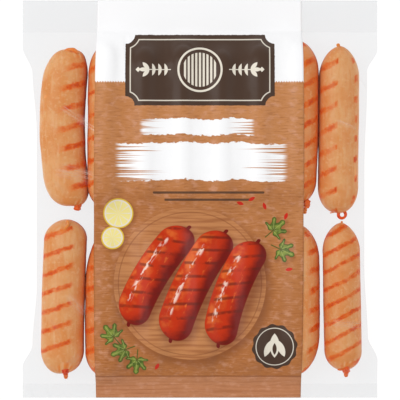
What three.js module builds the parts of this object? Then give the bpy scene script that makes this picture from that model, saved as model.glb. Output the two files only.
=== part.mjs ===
// A sealed pack of sausages: a tube of clear film, welded flat across its header and its foot, that is
// drawn close round two rows of sausages lying side by side. It rests on its back, printed side up.
//
// Millimetres, +Z up. +Y points to the header, +X to the right of the pack as it is read, and the
// origin is the middle of the pack's outline, on the surface that the pack lies on.

import * as THREE from "three";

// Driving dimensions of the film tube
const PACK_WIDTH = 248.6; // the flat tube, across its welded ends
const PACK_LENGTH = 278.6; // header edge to foot edge
const HEADER_WELD = 22.4; // depth of the flat band at the header
const FOOT_WELD = 9.8; // depth of the flat band at the foot
const WELD_HEIGHT = 8; // where the stiff flat bands stand, above the table
const CREASE_HEIGHT = 13; // the fold along each side of the tube, above the table
const RIM_THICKNESS = 1; // the solid is never thinner than this
const FILM_GAP = 0.3; // film and air over a casing
const DRAWN_IN = 0.045; // curvature of the film where it dips between sausages, 1/mm

// The tube's half width at its waist, and how much wider it gets between two heights from the middle:
// gently along the sausages, then quickly where it flattens towards a weld.
const WAIST = { left: 114.2, right: 115 };
const FLARES = [
  { side: "left", end: 1, from: 45, to: 92, by: 3.1 },
  { side: "left", end: 1, from: 88, to: 107, by: 7 },
  { side: "left", end: -1, from: 60, to: 103, by: 3.1 },
  { side: "left", end: -1, from: 102, to: 118, by: 7 },
  { side: "right", end: 1, from: 20, to: 80, by: 1.9 },
  { side: "right", end: 1, from: 89, to: 105, by: 7.4 },
  { side: "right", end: -1, from: 45, to: 100, by: 2.5 },
  { side: "right", end: -1, from: 96, to: 113, by: 6.8 },
];
const FLATTENING = { header: [86, 117], foot: [100, 129] }; // where the fold comes down to the weld

// The sausages of a row from left to right, with the ones between them that the printed band hides. Each
// end has its tip's height in the pack, the x at which the bent axis passes there, the cap's length over
// which it closes in, the power by which it does so (low is blunt and 1 is pointed) and how far the tip
// lies aside of the axis.
const HEADER_ROW = {
  first: [
    {
      header: { tip: 105, x: -91.4, cap: 23, power: 0.36, aside: 1 },
      foot: { tip: -5, x: -90.5, cap: 20, power: 0.36, aside: 1 },
      middleX: -96.4,
      width: 31.7,
    },
    {
      header: { tip: 108.5, x: -64.6, cap: 22, power: 0.5, aside: 0 },
      foot: { tip: -6.5, x: -65.6, cap: 18, power: 0.5, aside: 0 },
      middleX: -65.2,
      width: 26.8,
    },
  ],
  hidden: { count: 4, headerTip: 108, footTip: -6, width: 26.6, headerCap: 18, footCap: 17 },
  last: [
    {
      header: { tip: 110.5, x: 69.2, cap: 23, power: 0.56, aside: 0 },
      foot: { tip: -4.4, x: 70.4, cap: 17, power: 0.56, aside: 2 },
      middleX: 69.7,
      width: 27.6,
    },
    {
      header: { tip: 107, x: 97, cap: 20, power: 0.6, aside: 0.6 },
      foot: { tip: -9.9, x: 96.4, cap: 17, power: 0.47, aside: 0.8 },
      middleX: 97.1,
      width: 27.9,
    },
  ],
};
const FOOT_ROW = {
  first: [
    {
      header: { tip: -14.2, x: -93.4, cap: 14, power: 0.56, aside: 0 },
      foot: { tip: -122.4, x: -96.3, cap: 18, power: 0.55, aside: -1.8 },
      middleX: -95.6,
      width: 30.2,
    },
    {
      header: { tip: -21, x: -65, cap: 42, power: 0.56, aside: 0 },
      foot: { tip: -125.5, x: -65, cap: 18, power: 0.56, aside: 0 },
      middleX: -65.6,
      width: 29.8,
    },
  ],
  hidden: { count: 3, headerTip: -17, footTip: -120, width: 30.8, headerCap: 20, footCap: 20 },
  last: [
    {
      header: { tip: -17.5, x: 67.6, cap: 25, power: 0.56, aside: 0 },
      foot: { tip: -123, x: 67.6, cap: 28, power: 0.56, aside: 0 },
      middleX: 68.4,
      width: 31,
    },
    {
      header: { tip: -16.4, x: 98.5, cap: 20, power: 0.675, aside: 0.2 },
      foot: { tip: -119.9, x: 100.3, cap: 14, power: 0.53, aside: 0 },
      middleX: 99.3,
      width: 26.4,
    },
  ],
};
const ROWS_MEET = -12; // the gap between the two rows
const SECTION_AREA = 640; // every sausage holds as much meat, so a slim one is tall, mm2
const HIDDEN_POWER = 0.56; // the power by which the hidden sausages' ends close in
const REST_FLAT = 1.3; // how far an underside is pressed flat
const UNEVEN = 2; // how far the hidden sausages' tips stray

// The grids: one settles the film, and the other is the solid's surface
const CELL = 2;
const SWEEPS = 260;
const HEADER_FACETS = 7; // columns of facets over each sausage of the header row
const FOOT_FACETS = 8; // and of the foot row, so that both rows have as many in all
const LINES = [
  { to: PACK_LENGTH / 2 - HEADER_WELD, steps: 1 },
  { to: 88, steps: 7 },
  { to: 16, steps: 6 },
  { to: -36, steps: 11 },
  { to: -104, steps: 5 },
  { to: FOOT_WELD - PACK_LENGTH / 2, steps: 5 },
  { to: -PACK_LENGTH / 2, steps: 1 },
];

const { clamp, lerp, smoothstep } = THREE.MathUtils;

// A whole row, with its hidden sausages spread evenly between the second and the last but one. The sine
// of a sausage's number makes each tip stray a little.
function fillRow({ first, hidden, last }) {
  const left = first.at(-1).middleX;
  const right = last[0].middleX;
  const between = Array.from({ length: hidden.count }, (_, index) => {
    const x = lerp(left, right, (index + 1) / (hidden.count + 1));
    const headerTip = hidden.headerTip + UNEVEN * Math.sin(2.4 * index);
    const footTip = hidden.footTip + UNEVEN * Math.sin(1.7 * index + 2);
    return {
      header: { tip: headerTip, x, cap: hidden.headerCap, power: HIDDEN_POWER, aside: 0 },
      foot: { tip: footTip, x, cap: hidden.footCap, power: HIDDEN_POWER, aside: 0 },
      middleX: x,
      width: hidden.width,
    };
  });
  return [...first, ...between, ...last];
}

const headerRow = fillRow(HEADER_ROW);
const footRow = fillRow(FOOT_ROW);
const sausages = [...headerRow, ...footRow];

const thicknessOf = (sausage) => SECTION_AREA / ((Math.PI / 4) * sausage.width);
const axisHeight = (sausage) => thicknessOf(sausage) / 2 - REST_FLAT;

// How far along a sausage y is: 1 at its header tip, 0 in its middle and -1 at its foot tip.
function alongOf({ header, foot }, y) {
  const middle = (header.tip + foot.tip) / 2;
  return (y - middle) / (header.tip - middle);
}

// What an end leaves of the full section at y. With t from 0 where it starts to close to 1 at its tip, it
// is 1 - t^2 to the end's power.
function leftBy({ tip, cap, power }, y) {
  const t = clamp(1 - Math.abs(y - tip) / cap, 0, 1);
  return Math.pow(1 - t * t, power);
}

// The share of its full section that a sausage has at y.
function fullnessAt(sausage, y) {
  if (Math.abs(alongOf(sausage, y)) >= 1) return 0;
  return leftBy(sausage.header, y) * leftBy(sausage.foot, y);
}

// Where the bent axis passes at y: the parabola through its two ends and its middle, drawn aside where
// the nearer end has closed in.
function axisX(sausage, y) {
  const { header, foot, middleX } = sausage;
  const along = clamp(alongOf(sausage, y), -1, 1);
  const ends = lerp(foot.x, header.x, (along + 1) / 2);
  const bow = middleX - (header.x + foot.x) / 2;
  const nearer = along > 0 ? header : foot;
  return ends + bow * (1 - along * along) + nearer.aside * (1 - fullnessAt(sausage, y)) ** 2;
}

// Half the height of a sausage at (x, y), above and below its axis, by its elliptical section. It is 0
// beside the sausage and past its tips.
function halfHeight(sausage, x, y) {
  const fullness = fullnessAt(sausage, y);
  const aside = Math.abs(x - axisX(sausage, y));
  const reach = (fullness * sausage.width) / 2;
  if (aside >= reach) return 0;
  return ((fullness * thicknessOf(sausage)) / 2) * Math.sqrt(1 - (aside / reach) ** 2);
}

// The half width of the tube at y, to the left or the right.
function halfWidth(side, y) {
  return FLARES.filter((flare) => flare.side === side).reduce(
    (width, { end, from, to, by }) => width + by * smoothstep(end * y, from, to),
    WAIST[side],
  );
}

// The height of the tube's rim at y: the fold at its waist comes down to the welds at both ends.
function rimHeight(y) {
  const flattened = smoothstep(y, ...FLATTENING.header) + smoothstep(-y, ...FLATTENING.foot);
  return lerp(CREASE_HEIGHT, WELD_HEIGHT, flattened);
}

const headerWeldEdge = PACK_LENGTH / 2 - HEADER_WELD;
const footWeldEdge = FOOT_WELD - PACK_LENGTH / 2;

function isRim(x, y) {
  const inWeld = y >= headerWeldEdge || y <= footWeldEdge;
  return inWeld || x <= -halfWidth("left", y) || x >= halfWidth("right", y);
}

// Settles one sheet of the film and returns its height as a function of (x, y). side is 1 for the front
// sheet and -1 for the back one. Each free point goes to the mean of its four neighbours and a little
// towards the other sheet, but never into a sausage nor past the rim's height.
function settleFilm(side) {
  const across = Math.round(PACK_WIDTH / CELL) + 1;
  const down = Math.round(PACK_LENGTH / CELL) + 1;
  const xOf = (i) => (i - (across - 1) / 2) * CELL;
  const yOf = (j) => (j - (down - 1) / 2) * CELL;
  const height = new Float64Array(across * down);
  const limit = new Float64Array(across * down);
  const free = [];

  for (let j = 0; j < down; j++) {
    for (let i = 0; i < across; i++) {
      const at = j * across + i;
      const [x, y] = [xOf(i), yOf(j)];
      limit[at] = side * rimHeight(y) + RIM_THICKNESS / 2;
      height[at] = limit[at];
      if (isRim(x, y)) continue;
      free.push(at);
      for (const sausage of sausages) {
        const half = halfHeight(sausage, x, y);
        if (half > 0) limit[at] = Math.max(limit[at], side * axisHeight(sausage) + half + FILM_GAP);
      }
      if (side < 0) limit[at] = Math.min(limit[at], 0);
    }
  }

  const dip = (DRAWN_IN * CELL * CELL) / 4;
  for (let sweep = 0; sweep < SWEEPS; sweep++) {
    for (const at of free) {
      const mean = (height[at - 1] + height[at + 1] + height[at - across] + height[at + across]) / 4;
      height[at] = Math.max(mean - dip, limit[at]);
    }
  }

  return (x, y) => {
    const u = clamp(x / CELL + (across - 1) / 2, 0, across - 1.001);
    const v = clamp(y / CELL + (down - 1) / 2, 0, down - 1.001);
    const at = Math.floor(v) * across + Math.floor(u);
    const near = lerp(height[at], height[at + 1], u % 1);
    const far = lerp(height[at + across], height[at + across + 1], u % 1);
    return side * lerp(near, far, v % 1);
  };
}

// The columns of facets over one row at y: from valley to valley between neighbours, closer together
// near the valleys, where the surface is steep.
function rowColumns(row, facets, y) {
  const edge = (sausage, side) => axisX(sausage, y) + (side * sausage.width) / 2;
  const valleys = row.slice(1).map((sausage, index) => (edge(row[index], 1) + edge(sausage, -1)) / 2);
  const bounds = [edge(row[0], -1), ...valleys, edge(row.at(-1), 1)];
  const columns = row.flatMap((_, index) =>
    Array.from({ length: facets }, (_, step) => {
      const even = (2 * step) / facets - 1;
      const crowded = Math.sin((even * Math.PI) / 2);
      return lerp(bounds[index], bounds[index + 1], (lerp(even, crowded, 0.4) + 1) / 2);
    }),
  );
  return [...columns, bounds.at(-1)];
}

// All columns of one line of the surface, out to both rims.
function lineColumns(y) {
  const headerShare = smoothstep(y, ROWS_MEET - 9, ROWS_MEET + 9);
  const headerColumns = rowColumns(headerRow, HEADER_FACETS, y);
  const footColumns = rowColumns(footRow, FOOT_FACETS, y);
  const inner = footColumns.map((x, index) => lerp(x, headerColumns[index], headerShare));
  const left = -halfWidth("left", y);
  const right = halfWidth("right", y);
  return [left, lerp(left, inner[0], 0.5), ...inner, lerp(right, inner.at(-1), 0.5), right];
}

function lineHeights() {
  const heights = [PACK_LENGTH / 2];
  for (const { to, steps } of LINES) {
    const from = heights.at(-1);
    for (let step = 1; step <= steps; step++) {
      heights.push(lerp(from, to, step / steps));
    }
  }
  return heights;
}

// The closed solid between the two sheets: a grid of facets for each, joined round the rim.
function packGeometry() {
  const front = settleFilm(1);
  const back = settleFilm(-1);
  const lines = lineHeights().map((y) => lineColumns(y).map((x) => ({ x, y })));
  const [down, across] = [lines.length, lines[0].length];
  const positions = [];

  const addSheet = (heightAt) => {
    lines.flat().forEach(({ x, y }) => positions.push(x, y, heightAt(x, y)));
  };
  const onRim = (x, y) => isRim(x, y) || Math.abs(y) === PACK_LENGTH / 2;
  addSheet((x, y) => (onRim(x, y) ? rimHeight(y) + RIM_THICKNESS / 2 : front(x, y)));
  addSheet((x, y) => (onRim(x, y) ? rimHeight(y) - RIM_THICKNESS / 2 : Math.max(0, back(x, y))));

  const triangles = [];
  const addQuad = (a, b, c, d) => triangles.push(a, b, c, a, c, d);
  const count = down * across;
  for (let j = 0; j < down - 1; j++) {
    for (let i = 0; i < across - 1; i++) {
      const corner = j * across + i;
      addQuad(corner, corner + across, corner + across + 1, corner + 1);
      addQuad(count + corner, count + corner + 1, count + corner + across + 1, count + corner + across);
    }
  }

  const rim = [
    ...Array.from({ length: across - 1 }, (_, i) => i),
    ...Array.from({ length: down - 1 }, (_, j) => j * across + across - 1),
    ...Array.from({ length: across - 1 }, (_, i) => count - 1 - i),
    ...Array.from({ length: down - 1 }, (_, j) => (down - 1 - j) * across),
  ];
  rim.forEach((at, index) => {
    const next = rim[(index + 1) % rim.length];
    addQuad(at, next, count + next, count + at);
  });

  const geometry = new THREE.BufferGeometry();
  geometry.setAttribute("position", new THREE.Float32BufferAttribute(positions, 3));
  geometry.setIndex(triangles);
  geometry.computeVertexNormals();
  return geometry;
}

const meatThroughFilm = new THREE.MeshStandardMaterial({ color: 0xd79a5a, roughness: 0.25, metalness: 0 });

const pack = new THREE.Mesh(packGeometry(), meatThroughFilm);
pack.name = "sausage_pack";

const model = new THREE.Group();
model.add(pack);

export default model;
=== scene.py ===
"""A sealed film pack of raw sausages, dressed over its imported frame.

Shapes are worked out in millimetres in the pack's own frame, with +Y towards the header, +X to the
right of the pack as it is read and +Z up from the table, and go into their meshes in metres.
"""

import logging
import math
from dataclasses import dataclass, field
from enum import Enum

import bpy
import numpy as np
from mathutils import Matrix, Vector


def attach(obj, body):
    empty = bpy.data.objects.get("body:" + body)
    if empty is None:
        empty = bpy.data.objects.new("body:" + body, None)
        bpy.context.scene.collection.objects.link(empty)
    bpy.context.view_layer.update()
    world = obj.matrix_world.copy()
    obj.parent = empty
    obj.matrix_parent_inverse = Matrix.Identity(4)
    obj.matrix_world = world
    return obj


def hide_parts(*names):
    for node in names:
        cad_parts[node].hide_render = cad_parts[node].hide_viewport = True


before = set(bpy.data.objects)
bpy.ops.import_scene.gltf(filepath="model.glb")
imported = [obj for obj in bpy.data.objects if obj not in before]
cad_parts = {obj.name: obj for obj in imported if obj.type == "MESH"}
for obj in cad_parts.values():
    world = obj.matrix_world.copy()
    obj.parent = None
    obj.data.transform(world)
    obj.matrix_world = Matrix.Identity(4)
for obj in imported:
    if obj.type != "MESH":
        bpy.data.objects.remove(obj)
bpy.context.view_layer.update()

NODE = "sausage_pack"
BODY = "root"
METRES = 0.001
BELOW_ALL = -99.0  # a height in millimetres that is lower than anything in the pack

log = logging.getLogger("sausage_pack")


class Slot(Enum):
    """The record's material slots."""

    CASING = "sausage_casing"
    FILM = "clear_film"
    PRINT = "printed_film"


class Sheet(Enum):
    """The two sheets of the film tube, by the way each faces."""

    FRONT = 1
    BACK = -1


def smoothstep(values: np.ndarray | float, start: float, end: float) -> np.ndarray:
    """Rise smoothly from 0 at start to 1 at end: t squared times (3 - 2 t).

    Args:
        values: where to take the curve.
        start: the value at which it leaves 0.
        end: the value at which it reaches 1.

    Returns:
        The curve's height at each value.
    """
    share = np.clip((np.asarray(values, float) - start) / (end - start), 0, 1)
    return share * share * (3 - 2 * share)


def linear(red: float, green: float, blue: float) -> tuple[float, float, float, float]:
    """Turn a colour as seen on a screen, 0 to 255, into the linear one that a shader takes."""
    shares = (red / 255, green / 255, blue / 255)
    levels = [s / 12.92 if s <= 0.04045 else ((s + 0.055) / 1.055) ** 2.4 for s in shares]
    return (levels[0], levels[1], levels[2], 1.0)


@dataclass(frozen=True)
class Ripple:
    """A smooth seeded random field over a plane, from -1 to 1.

    Attributes:
        seed: which field it is.
        lattice: how many random values it repeats after, each way.
    """

    seed: int
    lattice: int = 64

    def at(self, u: np.ndarray, v: np.ndarray | float = 0.0) -> np.ndarray:
        """Blend the four lattice values round each point by smoothstep weights.

        Args:
            u: the first coordinate, in lattice steps.
            v: the second coordinate, in lattice steps.

        Returns:
            The field at each point.
        """
        values = np.random.default_rng(self.seed).uniform(-1, 1, (self.lattice, self.lattice))
        u, v = np.broadcast_arrays(np.asarray(u, float), np.asarray(v, float))
        column, row = np.floor(u).astype(int), np.floor(v).astype(int)
        across, down = u - column, v - row
        across, down = across * across * (3 - 2 * across), down * down * (3 - 2 * down)
        left, right = column % self.lattice, (column + 1) % self.lattice
        low, high = row % self.lattice, (row + 1) % self.lattice
        near = values[low, left] * (1 - across) + values[low, right] * across
        far = values[high, left] * (1 - across) + values[high, right] * across
        return near * (1 - down) + far * down


@dataclass
class Surface:
    """One closed surface, in millimetres.

    Attributes:
        points: an (n, 3) array.
        quads: an (m, 4) array of point numbers.
        triangles: a (k, 3) array of point numbers.
        values: numbers kept at the points for the material, by name.
    """

    points: np.ndarray
    quads: np.ndarray
    triangles: np.ndarray = field(default_factory=lambda: np.empty((0, 3), int))
    values: dict[str, np.ndarray] = field(default_factory=dict)

    def volume(self) -> float:
        """Add up the signed tetrahedra from the origin to each triangle."""
        halves = [self.quads[:, [0, 1, 2]], self.quads[:, [0, 2, 3]], self.triangles]
        a, b, c = (self.points[np.vstack(halves)[:, corner]] for corner in range(3))
        return float(np.einsum("ij,ij->i", a, np.cross(b, c)).sum() / 6)

    def joined(self, other: "Surface", values: dict[str, float]) -> "Surface":
        """Put another closed surface beside this one, in the same piece.

        Args:
            other: the surface to add.
            values: the numbers that its points keep, by name.

        Returns:
            Both together.
        """
        first, second = self.outward(), other.outward()
        offset, count = len(first.points), len(second.points)
        return Surface(
            np.vstack([first.points, second.points]),
            np.vstack([first.quads, second.quads + offset]),
            np.vstack([first.triangles, second.triangles + offset]),
            {name: np.append(kept, np.full(count, values[name])) for name, kept in first.values.items()},
        )

    def outward(self) -> "Surface":
        """Turn the faces round if they point inwards, which a negative volume shows."""
        if self.volume() > 0:
            return self
        return Surface(self.points, self.quads[:, ::-1], self.triangles[:, ::-1], self.values)

    def mesh(self, name: str) -> bpy.types.Mesh:
        """Make a smooth shaded mesh in metres, with its faces outwards and its values as attributes."""
        facing_out = self.outward()
        quads, triangles = facing_out.quads, facing_out.triangles
        corners = np.concatenate([quads.ravel(), triangles.ravel()])
        sizes = np.concatenate([np.full(len(quads), 4), np.full(len(triangles), 3)])
        mesh = bpy.data.meshes.new(name)
        mesh.vertices.add(len(self.points))
        mesh.vertices.foreach_set("co", (self.points * METRES).astype(np.float32).ravel())
        mesh.loops.add(len(corners))
        mesh.loops.foreach_set("vertex_index", corners.astype(np.int32))
        mesh.polygons.add(len(sizes))
        mesh.polygons.foreach_set("loop_start", (np.cumsum(sizes) - sizes).astype(np.int32))
        mesh.polygons.foreach_set("loop_total", sizes.astype(np.int32))
        mesh.update(calc_edges=True)
        for label, values in self.values.items():
            attribute = mesh.attributes.new(label, "FLOAT", "POINT")
            attribute.data.foreach_set("value", values.astype(np.float32).ravel())
        mesh.shade_smooth()
        log.info("%s: %d points, %d faces", name, len(self.points), len(sizes))
        return mesh

    def piece(self, name: str, material: bpy.types.Material, slot: Slot) -> bpy.types.Object:
        """Make the surface a piece of the model.

        Args:
            name: the piece's name.
            material: its finish.
            slot: the record's slot that the finish stands for; not used.

        Returns:
            The new object, which rides on the pack and stands for its solid.
        """
        mesh = self.mesh(name)
        mesh.materials.append(material)
        piece = bpy.data.objects.new(name, mesh)
        bpy.context.scene.collection.objects.link(piece)
        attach(piece, BODY)
        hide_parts(NODE)
        return piece


def slab(top: np.ndarray, bottom: np.ndarray) -> Surface:
    """Close two grids of points, one over the other, into one surface by a strip round their rims.

    Args:
        top: a (rows, columns, 3) array.
        bottom: another of the same shape.

    Returns:
        The closed surface.
    """
    rows, columns = top.shape[:2]
    count = rows * columns
    number = np.arange(count).reshape(rows, columns)
    a, b = number[:-1, :-1].ravel(), number[:-1, 1:].ravel()
    c, d = number[1:, 1:].ravel(), number[1:, :-1].ravel()
    rim = np.concatenate([number[0, :-1], number[:-1, -1], number[-1, :0:-1], number[:0:-1, 0]])
    after = np.roll(rim, -1)
    quads = np.vstack([
        np.column_stack([a, d, c, b]),
        np.column_stack([a, b, c, d]) + count,
        np.column_stack([rim, after, after + count, rim + count]),
    ])
    return Surface(np.vstack([top.reshape(-1, 3), bottom.reshape(-1, 3)]), quads)


class Value:
    """A number that changes over a material's surface: a node's output, with Python's operators."""

    def __init__(self, paint: "Paint", socket: bpy.types.NodeSocket) -> None:
        """Wrap a socket of the paint's nodes."""
        self.paint = paint
        self.socket = socket

    def __add__(self, other: "Number") -> "Value":
        """Add."""
        return self.paint.math("ADD", self, other)

    def __radd__(self, other: "Number") -> "Value":
        """Add, reflected."""
        return self.paint.math("ADD", other, self)

    def __sub__(self, other: "Number") -> "Value":
        """Subtract."""
        return self.paint.math("SUBTRACT", self, other)

    def __rsub__(self, other: "Number") -> "Value":
        """Subtract, reflected."""
        return self.paint.math("SUBTRACT", other, self)

    def __mul__(self, other: "Number") -> "Value":
        """Multiply."""
        return self.paint.math("MULTIPLY", self, other)

    def __rmul__(self, other: "Number") -> "Value":
        """Multiply, reflected."""
        return self.paint.math("MULTIPLY", other, self)

    def __pow__(self, other: "Number") -> "Value":
        """Raise to a power."""
        return self.paint.math("POWER", self, other)

    def __neg__(self) -> "Value":
        """Negate."""
        return self.paint.math("MULTIPLY", self, -1.0)

    def __abs__(self) -> "Value":
        """Drop the sign."""
        return self.paint.math("ABSOLUTE", self)

    def least(self, other: "Number") -> "Value":
        """Take the smaller of two numbers."""
        return self.paint.math("MINIMUM", self, other)

    def most(self, other: "Number") -> "Value":
        """Take the larger of two numbers."""
        return self.paint.math("MAXIMUM", self, other)

    def sine(self) -> "Value":
        """Take the sine."""
        return self.paint.math("SINE", self)

    def fold(self, width: float) -> "Value":
        """Go up to width and down again, over and over."""
        return self.paint.math("PINGPONG", self, width)

    def rise(self, start: float, end: float, low: float = 0.0, high: float = 1.0) -> "Value":
        """Go smoothly from low, where the number is start, to high, where it is end.

        Args:
            start: the number at which the curve leaves low.
            end: the number at which it reaches high.
            low: the first level.
            high: the second level.

        Returns:
            The level at each point.
        """
        inputs = {0: self, 1: start, 2: end, 3: low, 4: high}
        if start > end:
            inputs = {0: self, 1: end, 2: start, 3: high, 4: low}
        node = self.paint.node("ShaderNodeMapRange", {"interpolation_type": "SMOOTHSTEP"}, inputs)
        return Value(self.paint, node.outputs[0])

    def inside(self, soft: float = 0.3) -> "Value":
        """Turn a distance from an outline, negative inside, into a mask: 1 inside and 0 outside."""
        return self.rise(soft / 2, -soft / 2)


Number = Value | float
Colour = bpy.types.NodeSocket | tuple[float, float, float, float]


class Paint:
    """The node tree of one material."""

    def __init__(self, name: str) -> None:
        """Start an empty material."""
        self.material = bpy.data.materials.new(name)
        self.material.use_nodes = True
        self.tree = self.material.node_tree
        self.tree.nodes.clear()
        self.place = self.node("ShaderNodeTexCoord").outputs["Object"]

    def node(
        self,
        kind: str,
        settings: dict[str, object] | None = None,
        inputs: dict[int | str, object] | None = None,
    ) -> bpy.types.Node:
        """Add one node.

        Args:
            kind: the node's type.
            settings: its properties, set before its sockets.
            inputs: a number, a colour, a Value or a socket for each input named.

        Returns:
            The node.
        """
        node = self.tree.nodes.new(kind)
        for label, setting in (settings or {}).items():
            setattr(node, label, setting)
        for label, value in (inputs or {}).items():
            source = value.socket if isinstance(value, Value) else value
            if isinstance(source, bpy.types.NodeSocket):
                self.tree.links.new(source, node.inputs[label])
            else:
                node.inputs[label].default_value = source
        return node

    def math(self, operation: str, *numbers: Number) -> Value:
        """Add a Math node for one operation on values and plain numbers."""
        node = self.node("ShaderNodeMath", {"operation": operation}, dict(enumerate(numbers)))
        return Value(self, node.outputs[0])

    def attribute(self, name: str) -> Value:
        """Read a number that the mesh keeps at its points."""
        node = self.node("ShaderNodeAttribute", {"attribute_type": "GEOMETRY", "attribute_name": name})
        return Value(self, node.outputs["Fac"])

    def millimetres(self) -> tuple[Value, Value, Value]:
        """Read where a point of the surface is in the pack's frame."""
        axes = self.node("ShaderNodeSeparateXYZ", inputs={0: self.place})
        return tuple(Value(self, axes.outputs[axis]) * (1 / METRES) for axis in range(3))

    def point(self, x: Number, y: Number, z: Number = 0.0) -> bpy.types.NodeSocket:
        """Join three numbers into a place."""
        return self.node("ShaderNodeCombineXYZ", inputs={0: x, 1: y, 2: z}).outputs[0]

    def noise(self, place: bpy.types.NodeSocket, scale: float, detail: float = 2.0) -> Value:
        """Take cloudy noise, from 0 to 1 and mostly near a half, at a place.

        Args:
            place: the coordinates.
            scale: how many clouds there are to a unit of them.
            detail: how many finer layers are added.

        Returns:
            The noise.
        """
        inputs = {"Vector": place, "Scale": scale, "Detail": detail}
        return Value(self, self.node("ShaderNodeTexNoise", inputs=inputs).outputs[0])

    def blend(self, share: Number, first: Colour, second: Colour) -> bpy.types.NodeSocket:
        """Go from the first colour to the second as share goes from 0 to 1."""
        node = self.node("ShaderNodeMix", {"data_type": "RGBA"}, {0: share, 6: first, 7: second})
        return node.outputs[2]

    def bump(self, height: Value, depth: float, strength: float = 1.0) -> bpy.types.NodeSocket:
        """Turn a height from 0 to 1 into a tilt of the surface.

        Args:
            height: the relief.
            depth: how deep it is, in millimetres.
            strength: how much of it shows.

        Returns:
            The tilted normal.
        """
        inputs = {"Height": height, "Distance": depth * METRES, "Strength": strength}
        return self.node("ShaderNodeBump", inputs=inputs).outputs[0]

    def principled(self, inputs: dict[int | str, object]) -> bpy.types.NodeSocket:
        """Add the main shader."""
        return self.node("ShaderNodeBsdfPrincipled", inputs=inputs).outputs[0]

    def finish(self, shader: bpy.types.NodeSocket) -> bpy.types.Material:
        """Join a shader to the output and hand over the material."""
        self.node("ShaderNodeOutputMaterial", inputs={"Surface": shader})
        return self.material


class Ink:
    """A material's colour being built up, layer over layer."""

    def __init__(self, paint: Paint, colour: Colour) -> None:
        """Start with a ground colour."""
        self.paint = paint
        self.colour = colour

    def lay(self, colour: Colour, mask: Number) -> None:
        """Lay a colour over the rest where the mask is 1, and less of it below that."""
        self.colour = self.paint.blend(mask, self.colour, colour)


@dataclass(frozen=True)
class Marks:
    """The darker diagonal bands on one side of a sausage, like the turns of a string.

    Attributes:
        first: where one band crosses the sausage's top line, as a height in the pack.
        pitch: from one band to the next along the sausage.
        start: the angle from the top at which the bands begin, in degrees, to the right.
        end: the angle at which they end.
        slope: how much a band rises for its way across.
        thick: how thick it is, along the sausage.
        fade: over how many degrees they begin and end.
        narrowing: how much later they begin at the sausage's ends than in its middle.
        strength: how strongly they show. Above 1 they are charred.
        last: the number of the lowest band, counted up from the first one, or none.
    """

    first: float
    pitch: float
    start: float = -112
    end: float = 60
    slope: float = 0.5
    thick: float = 3.4
    fade: float = 14
    narrowing: float = 0
    strength: float = 1
    last: float = -math.inf


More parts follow.
